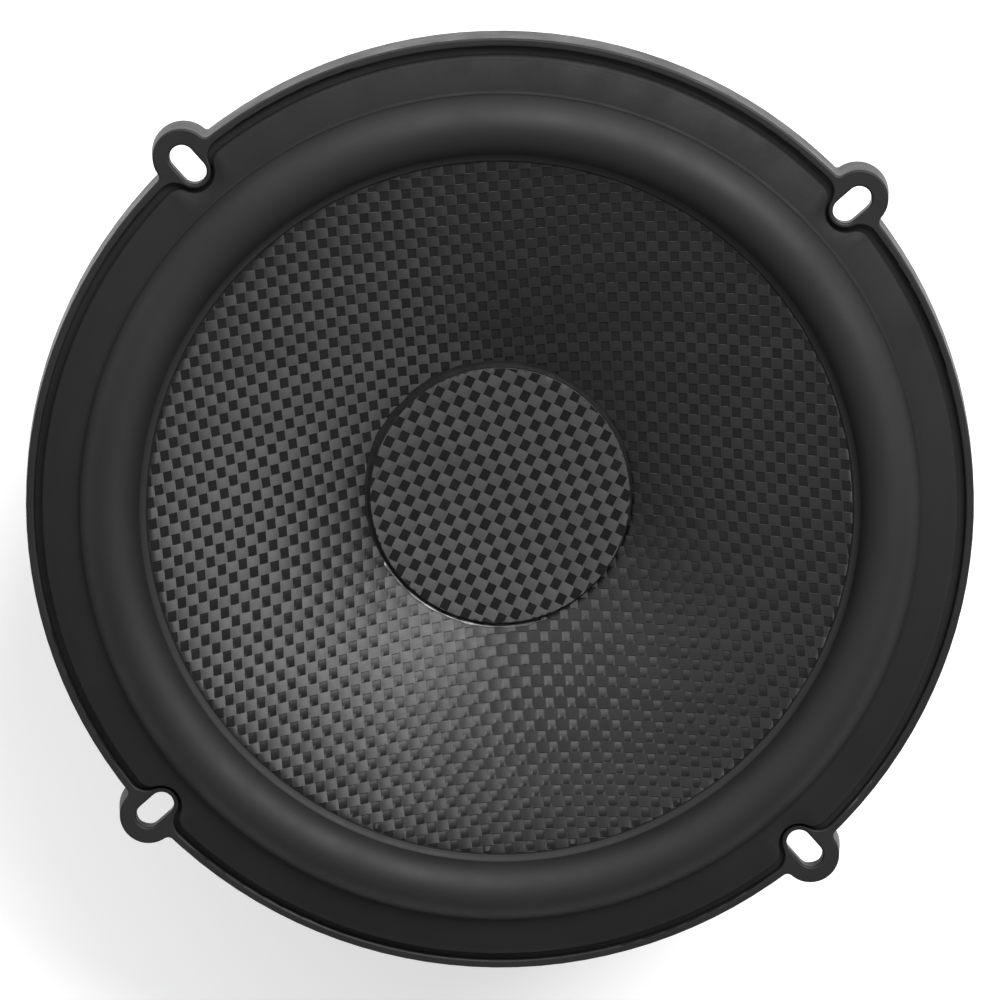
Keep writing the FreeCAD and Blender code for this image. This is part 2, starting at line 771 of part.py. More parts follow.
def make_coil_winding():
    inner = f"({FORMER_OUTER} + glue_gap)"
    outer = f"({FORMER_OUTER} + winding_wall)"
    turned_part("coil_winding", [
        (inner, "-winding_top - winding_length"),
        (outer, "-winding_top - winding_length"),
        (outer, "-winding_top"),
        (inner, "-winding_top"),
    ])


# ---------------------------------------------------------------- motor

def make_front_plate():
    """Steel ring that closes the magnetic gap, with holes for the basket's screws."""
    body = turned_part("front_plate", [
        ("plate_bore_radius", PLATE_FOOT),
        ("plate_radius", PLATE_FOOT),
        ("plate_radius", PLATE_TOP),
        ("plate_bore_radius", PLATE_TOP),
    ])
    hole = sketch_on(body, "XY_Plane", "plate_hole", offset=PLATE_TOP)
    draw_screw_circle(hole, "screw_radius + fit_gap / 2")
    ring_pattern(body, [pocket(body, hole, "plate_thickness")], "spoke_count")


def make_magnet():
    turned_part("magnet", [
        ("magnet_bore_radius", MAGNET_FOOT),
        ("magnet_radius", MAGNET_FOOT),
        ("magnet_radius", PLATE_FOOT),
        ("magnet_bore_radius", PLATE_FOOT),
    ])


def make_yoke():
    """Back plate and vented pole in one piece, stepped for the copper sleeve and the vent screen."""
    slim = "(pole_radius - copper_wall - fit_gap / 2)"
    step = "(-pole_top - copper_length)"
    turned_part("yoke", [
        ("vent_radius", "-pole_top"),
        ("vent_radius", f"{YOKE_FOOT} + screen_recess"),
        ("screen_radius + fit_gap", f"{YOKE_FOOT} + screen_recess"),
        ("screen_radius + fit_gap", YOKE_FOOT),
        ("plate_radius - back_plate_chamfer", YOKE_FOOT),
        ("plate_radius", f"{YOKE_FOOT} + back_plate_chamfer"),
        ("plate_radius", MAGNET_FOOT),
        ("pole_radius", MAGNET_FOOT),
        ("pole_radius", step),
        (slim, step),
        (slim, "-pole_top"),
    ])


def make_copper_sleeve():
    """Copper cap over the pole's tip, which steadies the magnetic field in the gap."""
    inner = "(pole_radius - copper_wall)"
    turned_part("copper_sleeve", [
        (inner, "-pole_top - copper_length + glue_gap"),
        ("pole_radius", "-pole_top - copper_length + glue_gap"),
        ("pole_radius", "-pole_top + copper_wall"),
        ("vent_radius", "-pole_top + copper_wall"),
        ("vent_radius", "-pole_top"),
        (inner, "-pole_top"),
    ])


def make_vent_screen():
    """Perforated disc that keeps grit out of the pole's vent."""
    body = turned_part("vent_screen", [
        ("0", f"{YOKE_FOOT} + screen_recess - screen_thickness"),
        ("screen_radius", f"{YOKE_FOOT} + screen_recess - screen_thickness"),
        ("screen_radius", f"{YOKE_FOOT} + screen_recess"),
        ("0", f"{YOKE_FOOT} + screen_recess"),
    ])
    holes = sketch_on(body, "XY_Plane", "screen_holes", offset=f"{YOKE_FOOT} + screen_recess")
    rings = round((SIZES["vent_radius"] - SIZES["screen_hole_radius"]) / SIZES["screen_hole_pitch"])
    for across in range(-rings, rings + 1):
        for along in range(-rings, rings + 1):
            if abs(across + along) > rings:
                continue
            x = f"screen_hole_pitch * {across + along / 2}"
            y = f"screen_hole_pitch * {along} * sqrt(3) / 2"
            if math.hypot(value(x), value(y)) < SIZES["vent_radius"]:
                draw_circle(holes, x, y, "screen_hole_radius")
    body.Tip = pocket(body, holes, "screen_thickness")


def make_magnet_boot():
    """Rubber boot round the motor, grooved outside and open in the middle of its rear face."""
    inner = "(magnet_radius + fit_gap)"
    outer = f"({inner} + boot_wall)"
    floor = f"({YOKE_FOOT} - boot_floor)"
    body = turned_part("magnet_boot", [
        ("boot_opening_radius", f"{YOKE_FOOT} - glue_gap"),
        ("boot_opening_radius", floor),
        (f"{outer} - boot_round", floor),
        (outer, f"{floor} + boot_round", "boot_round", "left"),
        (outer, f"{PLATE_TOP} - fit_gap - boot_round"),
        (f"{outer} - boot_round", f"{PLATE_TOP} - fit_gap", "boot_round", "left"),
        (inner, f"{PLATE_TOP} - fit_gap"),
        (inner, f"{YOKE_FOOT} - glue_gap"),
    ])
    for ring in range(SIZES["boot_groove_count"]):
        groove = sketch_on(body, "XZ_Plane", f"boot_groove_{ring + 1}")
        low = f"({MAGNET_FOOT} + boot_groove_pitch * ({ring} - 1 / 2))"
        draw_rectangle(groove, f"{outer} - boot_groove_depth", low, f"{outer} + boot_wall", f"{low} + boot_wall")
        cut_turned(body, groove)


def make_plate_screws():
    """Socket-head screws that clamp the basket's base to the front plate."""
    body = new_body("plate_screws")
    seat = "(-base_depth + base_thickness)"
    shank = sketch_on(body, "XY_Plane", "screw_shank", offset=f"{seat} - screw_length")
    draw_screw_circle(shank, "screw_radius")
    shank_pad = pad(body, shank, "screw_length")
    head = sketch_on(body, "XY_Plane", "screw_head", offset=seat)
    draw_screw_circle(head, "screw_head_radius")
    head_pad = pad(body, head, "screw_head_height")
    body.Tip = head_pad
    socket = sketch_on(body, "XY_Plane", "screw_socket", offset=f"{seat} + screw_head_height")
    corners = [at_angle("socket_radius", 60 * corner) for corner in range(6)]
    draw_path(socket, [(f"screw_circle_radius + {x}", y) for x, y in corners])
    socket_cut = pocket(body, socket, "socket_depth")
    ring_pattern(body, [shank_pad, head_pad, socket_cut], "spoke_count")


# ---------------------------------------------------------------- terminals and leads

def turn_to_terminals(body):
    """Terminal pieces are drawn along +X and then turned to the terminals' place on the basket."""
    body.Placement = FreeCAD.Placement(V(0, 0, 0), FreeCAD.Rotation(V(0, 0, 1), value("terminal_angle")))
    bind(body, ".Placement.Rotation.Angle", "terminal_angle")


def make_terminal_board():
    body = new_body("terminal_board")
    board = sketch_on(body, "XY_Plane", "board", offset=BOARD_FOOT)
    draw_rectangle(board, "board_inner_reach", "-board_half_width", "board_outer_reach", "board_half_width")
    body.Tip = pad(body, board, "board_thickness")
    holes = sketch_on(body, "XY_Plane", "board_holes", offset=BOARD_TOP)
    draw_rivet_circles(holes, "rivet_radius + fit_gap")
    body.Tip = pocket(body, holes, "board_thickness")
    turn_to_terminals(body)


def make_terminal(label, side, blade_width):
    """A riveted foot that narrows to a push-on blade."""
    body = new_body(label)
    flat = sketch_on(body, "XY_Plane", label + "_flat", offset=BOARD_TOP)
    middle = f"({side}{HALF_SPACING})"
    foot, blade = "(terminal_base_width / 2)", f"({blade_width} / 2)"
    shoulder = "(board_outer_reach - terminal_metal)"
    tip = "terminal_outer_reach"
    draw_path(flat, [
        ("terminal_inner_reach", f"{middle} - {foot}"),
        (shoulder, f"{middle} - {foot}"),
        (shoulder, f"{middle} - {blade}"),
        (f"{tip} - terminal_metal", f"{middle} - {blade}"),
        (tip, f"{middle} - {blade} + terminal_metal"),
        (tip, f"{middle} + {blade} - terminal_metal"),
        (f"{tip} - terminal_metal", f"{middle} + {blade}"),
        (shoulder, f"{middle} + {blade}"),
        (shoulder, f"{middle} + {foot}"),
        ("terminal_inner_reach", f"{middle} + {foot}"),
    ])
    body.Tip = pad(body, flat, "terminal_metal")
    holes = sketch_on(body, "XY_Plane", label + "_holes", offset=TERMINAL_TOP)
    draw_circle(holes, "rivet_reach", middle, "rivet_radius + fit_gap")
    body.Tip = pocket(body, holes, "terminal_metal")
    turn_to_terminals(body)


def make_terminal_rivets():
    body = new_body("terminal_rivets")
    low = f"({BOARD_FOOT} - tab_thickness)"
    heights = {
        "rivet_tail": (f"{low} - rivet_head_height", "rivet_head_radius", "rivet_head_height"),
        "rivet_shank": (low, "rivet_radius", f"{TERMINAL_TOP} - {low}"),
        "rivet_head": (TERMINAL_TOP, "rivet_head_radius", "rivet_head_height"),
    }
    for name, (start, radius, length) in heights.items():
        sketch = sketch_on(body, "XY_Plane", name, offset=start)
        draw_rivet_circles(sketch, radius)
        body.Tip = pad(body, sketch, length)
    turn_to_terminals(body)


def make_solder_joints():
    """A collar of solder round the foot of each lead."""
    body = new_body("solder_joints")
    sketch = sketch_on(body, "XY_Plane", "solder", offset=TERMINAL_TOP)
    for side in ("", "-"):
        draw_circle(sketch, "lead_reach", side + HALF_SPACING, "solder_radius")
        draw_circle(sketch, "lead_reach", side + HALF_SPACING, "lead_radius + glue_gap")
    body.Tip = pad(body, sketch, "solder_height")
    turn_to_terminals(body)


def make_lead(label, side):
    """Braided lead that rises from its terminal and runs in a slack curve to the cone's neck."""
    body = new_body(label)
    bend_reach = "(lead_reach - lead_bend)"
    solder_top = f"({TERMINAL_TOP} + solder_height)"
    bend_top = f"({solder_top} + lead_bend)"
    slack = f"((({bend_reach} - lead_end_reach)^2 + lead_rise^2) / (2 * lead_rise))"
    spine = sketch_on(body, "XZ_Plane", label + "_spine", offset=f"-{side}{HALF_SPACING}")
    draw_path(spine, [
        ("lead_reach", TERMINAL_TOP),
        ("lead_reach", solder_top),
        (bend_reach, bend_top, "lead_bend", "left"),
        ("lead_end_reach", f"{bend_top} + lead_rise", slack, "right"),
    ], closed=False)
    ring = sketch_on(body, "XY_Plane", label + "_ring", offset=TERMINAL_TOP)
    draw_circle(ring, "lead_reach", f"{side}{HALF_SPACING}", "lead_radius")
    pipe = body.newObject("PartDesign::AdditivePipe", label + "_pipe")
    pipe.Profile = ring
    pipe.Spine = (spine, ["Edge1", "Edge2", "Edge3"])
    body.Tip = pipe
    turn_to_terminals(body)


def make_lead_anchors():
    """Beads of glue that hold the leads to the back of the cone."""
    body = new_body("lead_anchors")
    for side in ("", "-"):
        ball = body.newObject("PartDesign::AdditiveSphere", "anchor")
        bind(ball, "Radius", "anchor_radius")
        spot = V(value("anchor_reach"), value(side + HALF_SPACING), -value("anchor_depth"))
        ball.Placement = FreeCAD.Placement(spot, FreeCAD.Rotation())
        bind(ball, ".Placement.Base.x", "anchor_reach")
        bind(ball, ".Placement.Base.y", side + HALF_SPACING)
        bind(ball, ".Placement.Base.z", "-anchor_depth")
        body.Tip = ball
    turn_to_terminals(body)


# ---------------------------------------------------------------- build, check and write

def check_document():
    """Stop if any object failed, or if a piece has no valid shape."""
    for item in doc.Objects:
        if "Invalid" in item.State or "Error" in item.State:
            raise RuntimeError(f"{item.Name} is in state {item.State}")
    for piece in PARTS:
        if piece.Shape.isNull() or not piece.Shape.isValid():
            raise RuntimeError(f"{piece.Label} has no valid shape")


def write_parts():
    os.makedirs("parts", exist_ok=True)
    for piece in PARTS:
        piece.Shape.exportStep(f"parts/{piece.Label}.step")
        print(f"{piece.Label}: {len(piece.Shape.Solids)} solid(s), {piece.Shape.Volume / 1000:.2f} cm3")


make_basket()
make_front_gasket()
make_rear_gasket()
make_surround()
make_spider()
make_cone()
make_dust_cap()
make_cap_bead()
make_neck_bead()
make_coil_former()
make_coil_winding()
make_front_plate()
make_magnet()
make_yoke()
make_copper_sleeve()
make_vent_screen()
make_magnet_boot()
make_plate_screws()
make_terminal_board()
make_terminal("terminal_positive", "", "wide_blade")
make_terminal("terminal_negative", "-", "narrow_blade")
make_terminal_rivets()
make_solder_joints()
make_lead("lead_positive", "")
make_lead("lead_negative", "-")
make_lead_anchors()
doc.recompute()
check_document()
write_parts()
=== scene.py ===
import json
import math

import bmesh
import bpy
import numpy as np
from mathutils import Matrix, Vector


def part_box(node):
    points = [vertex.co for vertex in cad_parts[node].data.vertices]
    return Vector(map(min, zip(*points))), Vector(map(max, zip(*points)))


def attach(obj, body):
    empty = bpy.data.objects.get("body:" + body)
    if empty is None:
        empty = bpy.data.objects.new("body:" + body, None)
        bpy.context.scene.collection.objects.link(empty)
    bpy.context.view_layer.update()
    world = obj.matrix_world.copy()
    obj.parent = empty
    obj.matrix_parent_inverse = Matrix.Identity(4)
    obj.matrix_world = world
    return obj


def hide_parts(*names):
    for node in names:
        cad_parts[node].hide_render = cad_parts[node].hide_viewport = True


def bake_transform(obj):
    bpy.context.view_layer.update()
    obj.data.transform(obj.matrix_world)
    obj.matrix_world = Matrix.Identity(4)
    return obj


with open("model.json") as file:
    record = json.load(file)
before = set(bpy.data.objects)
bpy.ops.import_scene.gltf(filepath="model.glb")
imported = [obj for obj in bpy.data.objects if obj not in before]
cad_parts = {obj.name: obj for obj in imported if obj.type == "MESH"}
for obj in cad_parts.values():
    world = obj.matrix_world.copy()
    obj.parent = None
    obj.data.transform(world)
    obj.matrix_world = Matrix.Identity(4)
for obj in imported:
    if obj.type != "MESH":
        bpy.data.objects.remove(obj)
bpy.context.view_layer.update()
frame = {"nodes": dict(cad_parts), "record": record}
MM = 0.001
NODES = frame["nodes"]
rng = np.random.default_rng(7)


# ---------------------------------------------------------------- sizes read from the frame

def points_of(node):
    """All corners of a CAD node, as rows of x, y, z."""
    mesh = NODES[node].data
    corners = np.zeros(len(mesh.vertices) * 3)
    mesh.vertices.foreach_get("co", corners)
    return corners.reshape(-1, 3)


def radii_of(node):
    corners = points_of(node)
    return np.hypot(corners[:, 0], corners[:, 1])


def inner(node):
    return float(radii_of(node).min())


def outer(node):
    return float(radii_of(node).max())


def foot(node):
    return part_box(node)[0].z


def top(node):
    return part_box(node)[1].z


RIM_TOP = top("basket")
TRIM_RADIUS = outer("front_gasket")
TRIM_INNER = inner("front_gasket")
TRIM_TOP = top("front_gasket")
TRIM_FOOT = foot("front_gasket")
LIP_INNER = inner("surround")
ROLL_TOP = top("surround")
CAP_RADIUS = outer("dust_cap")
CAP_TOP = top("dust_cap")
CONE_RADIUS = outer("cone")
CONE_TOP = top("cone")
NECK_RADIUS = inner("cone")
BOLTS = next(mount for mount in frame["record"]["mounts"] if mount["name"] == "slots_x")["dims"]
BOLT_RADIUS = BOLTS["spacing_x_mm"] / 2 * MM
SLOT_HALF_WIDTH = BOLTS["hole_r_mm"] * MM
SLOT_LENGTH = BOLTS["slot_length_mm"] * MM
EAR_COUNT = 4
VIEW_TURN = math.radians(41.5)      # angle in the camera's picture of the ear that stands on +X
UPWARD = 0.2                        # a face looks up if the z of its normal is more than this
LEVEL = 1e-6                        # heights or radii closer than this are the same, in metres


def front_points(node):
    """Radius and height of each corner of a CAD node's upward faces, sorted by radius."""
    mesh = NODES[node].data
    chosen = {index for face in mesh.polygons if face.normal.z > UPWARD for index in face.vertices}
    corners = points_of(node)[sorted(chosen)]
    radius = np.hypot(corners[:, 0], corners[:, 1])
    order = np.argsort(radius)
    return radius[order], corners[order, 2]


def circle_through(first, second, third):
    """Centre and radius of the circle through three points."""
    (ax, ay), (bx, by), (cx, cy) = first, second, third
    double_area = 2 * (ax * (by - cy) + bx * (cy - ay) + cx * (ay - by))
    a2, b2, c2 = ax * ax + ay * ay, bx * bx + by * by, cx * cx + cy * cy
    x = (a2 * (by - cy) + b2 * (cy - ay) + c2 * (ay - by)) / double_area
    y = (a2 * (cx - bx) + b2 * (ax - cx) + c2 * (bx - ax)) / double_area
    return x, y, math.hypot(ax - x, ay - y)


def cone_flare():
    """The circle that the cone's front face follows from the neck to its flat edge."""
    radius, height = front_points("cone")
    flat_start = int(np.argmax(height > CONE_TOP - LEVEL))
    picks = (0, flat_start // 2, flat_start)
    return circle_through(*[(radius[i], height[i]) for i in picks])


FLARE_REACH, FLARE_HEIGHT, FLARE_RADIUS = cone_flare()


def cone_height(radius):
    """Height of the cone's front face, which flares up to a flat edge."""
    reach = np.asarray(radius) - FLARE_REACH
    return np.minimum(FLARE_HEIGHT + np.sqrt(FLARE_RADIUS ** 2 - reach ** 2), CONE_TOP)


# ---------------------------------------------------------------- mesh helpers

SAME_POINT = 1e-7           # points of a piece that are closer than this are one point, in metres


def new_mesh(name, corners, faces, smooth=True):
    """A new piece from its corners and faces."""
    mesh = bpy.data.meshes.new(name)
    mesh.from_pydata([tuple(c) for c in corners], [], [tuple(int(i) for i in f) for f in faces])
    mesh.validate()
    mesh.update()
    if smooth:
        mesh.polygons.foreach_set("use_smooth", [True] * len(mesh.polygons))
    piece = bpy.data.objects.new(name, mesh)
    bpy.context.scene.collection.objects.link(piece)
    return piece


def ring_faces(count, width):
    """Faces between count sections of width points each, where the last section joins the first."""
    faces = []
    for k in range(count):
        a, b = k * width, ((k + 1) % count) * width
        for i in range(width):
            j = (i + 1) % width
            faces.append([a + i, b + i, b + j, a + j])
    return faces


def turned(section, segments, wobble=None):
    """Corners and faces of a closed (radius, height) section turned about Z.

    wobble gives the section at an angle, where it isn't the same all round.
    """
    section = np.array(section, float)
    corners = []
    for k in range(segments):
        angle = 2 * math.pi * k / segments
        ring = section if wobble is None else wobble(section, angle)
        corners.extend([(r * math.cos(angle), r * math.sin(angle), z) for r, z in ring])
    return corners, ring_faces(segments, len(section))


def closed_rows(rows):
    """Corners and faces of a ring whose cross-sections are the rows."""
    corners = [corner for row in rows for corner in row]
    return corners, ring_faces(len(rows), len(rows[0]))


def face_outwards(piece):
    """Merges the points that meet on the axis and turns every face outwards."""
    work = bmesh.new()
    work.from_mesh(piece.data)
    bmesh.ops.remove_doubles(work, verts=work.verts, dist=SAME_POINT)
    bmesh.ops.recalc_face_normals(work, faces=work.faces)
    work.to_mesh(piece.data)
    work.free()


def set_attribute(piece, name, kind, domain, values):
    """Stores a value for each of a piece's points or faces, for its material to read."""
    attribute = piece.data.attributes.new(name, kind, domain)
    key = "vector" if kind == "FLOAT_VECTOR" else "value"
    attribute.data.foreach_set(key, np.asarray(values, np.float32).ravel())


def dress(piece, material):
    piece.data.materials.clear()
    piece.data.materials.append(material)


def finish_piece(piece, material, body=None, stands_for=None):
    """Gives a piece its material and its body, and hides the CAD node that it stands for."""
    dress(piece, material)
    if body:
        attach(piece, body)
    if stands_for:
        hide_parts(stands_for)


def share_motion(piece, shares):
    """Bakes a piece's placement into its points and works out each point's smoothed share of the cone's
    motion, from 0 on the chassis to 1 on the cone; the shares are not applied.
    """
    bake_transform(piece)
    smooth = np.clip(shares, 0, 1)
    smooth = smooth * smooth * (3 - 2 * smooth)


def reach_of(piece):
    """Distance of each of a piece's points from the object's axis."""
    corners = np.array([point.co for point in piece.data.vertices])
    return np.hypot(corners[:, 0], corners[:, 1])


# ---------------------------------------------------------------- materials

def new_material(name):
    material = bpy.data.materials.new(name)
    material.use_nodes = True
    tree = material.node_tree
    shader = next(node for node in tree.nodes if node.type == "BSDF_PRINCIPLED")
    return material, tree, shader


def add(tree, kind, **settings):
    """A new shader node, with inputs and settings given by name."""
    node = tree.nodes.new(kind)
    for key, setting in settings.items():
        if key in node.inputs:
            node.inputs[key].default_value = setting
        else:
            setattr(node, key, setting)
    return node


def object_place(tree):
    return add(tree, "ShaderNodeTexCoord").outputs["Object"]


def noise(tree, scale, detail=4.0):
    """Soft noise over the object, with its scale per metre."""
    node = add(tree, "ShaderNodeTexNoise", Scale=scale, Detail=detail, Roughness=0.55)
    tree.links.new(object_place(tree), node.inputs["Vector"])
    return node.outputs["Fac"]


def ramp(tree, source, low, high, low_at=0.3, high_at=0.7):
    """A colour or grey that goes from low to high as the source goes from low_at to high_at."""
    node = add(tree, "ShaderNodeValToRGB")
    for element, shade, place in zip(node.color_ramp.elements, (low, high), (low_at, high_at)):
        element.position = place
        element.color = (*shade, 1) if isinstance(shade, tuple) else (shade, shade, shade, 1)
    tree.links.new(source, node.inputs["Fac"])
    return node.outputs["Color"]


def multiplied(tree, first, second):
    """The product of two colours."""
    node = add(tree, "ShaderNodeMix", data_type="RGBA", blend_type="MULTIPLY")
    node.inputs[0].default_value = 1.0
    tree.links.new(first, node.inputs[6])
    tree.links.new(second, node.inputs[7])
    return node.outputs[2]


def bump(tree, shader, source, strength, distance):
    """Gives a shader a fine relief."""
    node = add(tree, "ShaderNodeBump", Strength=strength, Distance=distance)
    tree.links.new(source, node.inputs["Height"])
    tree.links.new(node.outputs["Normal"], shader.inputs["Normal"])


def mottled(name, dark, light, rough, patch=60.0, grain=2500.0, grain_depth=0.02, metallic=0.0, specular=0.5):
    """A material with soft patches of colour and gloss and a fine surface grain, its depth in mm."""
    material, tree, shader = new_material(name)
    tree.links.new(ramp(tree, noise(tree, patch), dark, light), shader.inputs["Base Color"])
    tree.links.new(ramp(tree, noise(tree, patch * 3), *rough), shader.inputs["Roughness"])
    bump(tree, shader, noise(tree, grain, detail=2.0), 0.6, grain_depth * MM)
    shader.inputs["Metallic"].default_value = metallic
    shader.inputs["Specular IOR Level"].default_value = specular
    return material


def cloth(name, dark, light, pitch, rough, depth):
    """Cloth of crossing threads with painted shade between them: the colour runs from dark in the low places
    to light on the threads. The pitch and depth are in mm.
    """
    material, tree, shader = new_material(name)
    place = object_place(tree)
    height = add(tree, "ShaderNodeMath", operation="MULTIPLY")
    waves_per_unit = math.pi / (10 * pitch * MM)
    for socket, axis in zip(height.inputs, "XY"):
        wave = add(tree, "ShaderNodeTexWave", bands_direction=axis, Scale=waves_per_unit)
        wave.inputs["Distortion"].default_value = 0.4
        wave.inputs["Detail Scale"].default_value = 1.5
        tree.links.new(place, wave.inputs["Vector"])
        tree.links.new(wave.outputs["Fac"], socket)
    # painted shade: darker where the thread pattern is low
    threads = ramp(tree, height.outputs["Value"], dark, light, 0.1, 0.6)
    patches = ramp(tree, noise(tree, 70.0), 0.75, 1.0)
    tree.links.new(multiplied(tree, threads, patches), shader.inputs["Base Color"])
    tree.links.new(ramp(tree, noise(tree, 500.0), *rough), shader.inputs["Roughness"])
    bump(tree, shader, height.outputs["Value"], 0.8, depth * MM)
    shader.inputs["Specular IOR Level"].default_value = 0.3
    return material


def woven_material(name, light, dark, rough, anisotropy):
    """Resin-sealed tows: highlights stretch across each tow, and each tow has its own shade.

    light and dark are the colours of the first and second tow family, which are one fibre: dark is painted
    shade for the second family's weaker highlight. Hollows, tow walls and steep slopes get painted shade too.
    """
    material, tree, shader = new_material(name)
    names = ("family", "shade", "across", "depth", "edge")
    family, shade, across, depth, edge = [add(tree, "ShaderNodeAttribute", attribute_name=n) for n in names]
    # the second family's darker colour is painted shade, not a different fibre
    fibre = add(tree, "ShaderNodeMix", data_type="RGBA")
    fibre.inputs[6].default_value = (*light, 1)
    fibre.inputs[7].default_value = (*dark, 1)
    tree.links.new(family.outputs["Fac"], fibre.inputs[0])
    varied = multiplied(tree, fibre.outputs[2], ramp(tree, shade.outputs["Fac"], 0.86, 1.12, 0.0, 1.0))
    # painted shade: the colour falls to 0.55 in the weave's hollows, on second-family tow walls and on steep
    # slopes
    hollow = add(tree, "ShaderNodeMath", operation="MAXIMUM")
    tree.links.new(depth.outputs["Fac"], hollow.inputs[0])
    tree.links.new(edge.outputs["Fac"], hollow.inputs[1])
    shaded = multiplied(tree, varied, ramp(tree, hollow.outputs["Value"], 1.0, 0.55, 0.5, 1.0))
    tree.links.new(shaded, shader.inputs["Base Color"])
    tree.links.new(across.outputs["Vector"], shader.inputs["Tangent"])
    tree.links.new(ramp(tree, noise(tree, 900.0), *rough), shader.inputs["Roughness"])
    shader.inputs["Metallic"].default_value = 0.95
    shader.inputs["Anisotropic"].default_value = anisotropy
    bump(tree, shader, noise(tree, 6000.0, detail=2.0), 0.35, 0.01 * MM)
    return material


POWDER = mottled("powder_coat", 0.007, 0.011, (0.42, 0.58), 45.0, 1900.0, 0.03, specular=0.25)
TRIM = mottled("trim_rubber", 0.007, 0.010, (0.55, 0.72), 50.0, 3200.0, 0.02, specular=0.2)
ROLL = mottled("surround_rubber", 0.006, 0.009, (0.58, 0.68), 40.0, 3500.0, 0.008, specular=0.33)
FOAM = mottled("closed_cell_foam", 0.008, 0.02, (0.85, 0.98), patch=300.0, grain=1400.0, grain_depth=0.12)
BOOT = mottled("boot_rubber", 0.011, 0.018, (0.5, 0.68), patch=50.0, grain=2600.0, grain_depth=0.02)
STEEL = mottled("black_zinc", (0.05, 0.05, 0.055), (0.11, 0.11, 0.105), (0.25, 0.42), 80.0, metallic=0.9)
FERRITE = mottled("ferrite", 0.03, 0.05, (0.6, 0.75), patch=120.0, grain=1800.0)
COPPER = mottled("copper", (0.55, 0.22, 0.10), (0.78, 0.36, 0.19), (0.25, 0.4), metallic=1.0)
BRASS = mottled("tinned_brass", (0.55, 0.53, 0.48), (0.74, 0.72, 0.66), (0.22, 0.38), metallic=1.0)
SOLDER = mottled("solder", (0.5, 0.51, 0.52), (0.68, 0.69, 0.7), (0.15, 0.3), patch=900.0, metallic=1.0)
BOARD = mottled("phenolic_board", 0.012, 0.03, (0.45, 0.6), patch=200.0)
FORMER = mottled("black_former", 0.05, 0.09, (0.3, 0.42), patch=120.0, metallic=0.7)
GLUE = mottled("black_glue", 0.005, 0.010, (0.6, 0.75), 300.0, 700.0, 0.10, specular=0.10)
WET_GLUE = mottled("clear_glue", 0.01, 0.02, (0.25, 0.40), 300.0, 900.0, 0.06, specular=0.8)
SCREW = mottled("black_oxide", 0.04, 0.08, (0.3, 0.45), patch=300.0, metallic=0.85)
BRAID = mottled("tinsel_braid", (0.42, 0.24, 0.12), (0.66, 0.42, 0.24), (0.3, 0.45), 2500.0, metallic=0.8)
CLOTH = cloth("spider_cloth", (0.26, 0.155, 0.045), (0.46, 0.31, 0.115), 0.7, (0.7, 0.85), 0.1)
# the second colour of each woven material is painted shade for the second tow family
WEAVE = woven_material("woven_fibre", (0.046, 0.046, 0.047), (0.039, 0.039, 0.040), (0.42, 0.48), 0.94)
CAP_WEAVE = woven_material("woven_cap", (0.044, 0.043, 0.044), (0.030, 0.030, 0.031), (0.44, 0.50), 0.88)
WOVEN_BACK = cloth("woven_back", 0.006, 0.016, 1.86, (0.5, 0.65), 0.12)


# ---------------------------------------------------------------- woven sheets

# Two families of tows cross: u runs along the first and v along the second, from -1 to 1 over a crossing.
# The first family's tows are broad and flat. The second family's are TOW_WIDTH of a crossing wide and arched
# along their length, and the first family shows on both sides of them. U_STEPS and V_STEPS are the places of
# the grid lines in a crossing.
TOW_WIDTH = 0.78
EDGE_WALL = 0.08            # width of the slope down at a second-family tow's edge
TOW_FLAT = 0.2              # half the width of the flat facet along a second-family tow's middle
TOW_EDGE = 0.90             # where a second-family tow's ends step up to the first family
U_RIGHT = [TOW_FLAT, TOW_WIDTH - EDGE_WALL, TOW_WIDTH]
U_STEPS = np.array([-1.0] + [-step for step in reversed(U_RIGHT)] + U_RIGHT)
V_STEPS = np.array([-1.0, -TOW_EDGE, 0.0, TOW_EDGE])
FLAT_CRIMP = 0.035 * MM     # how far a first-family tow dips from its crown to its crossing's edge
ARCH_CRIMP = 0.11 * MM      # the same for the second family
LENS = 0.03 * MM            # how far a tow's surface falls from its middle to its edges
WEAVE_DEPTH = ARCH_CRIMP + LENS
BACKING = WEAVE_DEPTH * 1.02        # how far below the crowns the plain body behind a sheet lies
NUDGE = 1e-6                # small step to either side of a grid line
PROBE = 0.05                # step along the tows for measuring their direction, in pitches
SPAN = 0.1 * MM             # half the step for measuring a sheet's slope
STEEPEST = 0.45             # a sheet's grid reaches far enough for a slope of up to this, in radians
STEEP = 1.0                 # rise over run above which a sheet gets the same painted shade as a tow's edge
CREASE = math.radians(24)   # edges of tows sharper than this are shaded as creases
TOW_SHARE = 0.6             # share of the shade that a whole tow has in common
DRAPE_BLUR = math.radians(14)       # angle over which the cone's drape is smoothed
DRAPE_ANGLES = 720


def float_drop(crimp, along, across):
    """Depth below the crown where a tow lies on top: along and across run from -1 to 1 over the crossing."""
    return crimp * (1 - np.cos(along * math.pi / 2)) + LENS * np.abs(across) ** 3


def crossing_drop(du, dv, first_over):
    """Depth below the crown anywhere in a crossing, for either family on top."""
    dive = float_drop(FLAT_CRIMP, 2 - np.abs(du), dv)
    second = float_drop(ARCH_CRIMP, dv, du / TOW_WIDTH)
    second = np.where(np.abs(du) > TOW_WIDTH - NUDGE, dive, second)
    return np.where(first_over, float_drop(FLAT_CRIMP, du, dv), second)


def weave_lines(reach, pitch, steps):
    """The sheet's grid lines in pitches: a crossing's middle is at each whole number."""
    cells = int(math.ceil(reach / pitch)) + 1
    lines = (np.arange(-cells, cells + 1)[:, None] + steps[None, :] / 2).ravel()
    return np.append(lines, cells + 0.5)


def flat_drape(u, v):
    """Radius and angle of a place on a sheet that lies flat."""
    return np.hypot(u, v), np.arctan2(v, u)


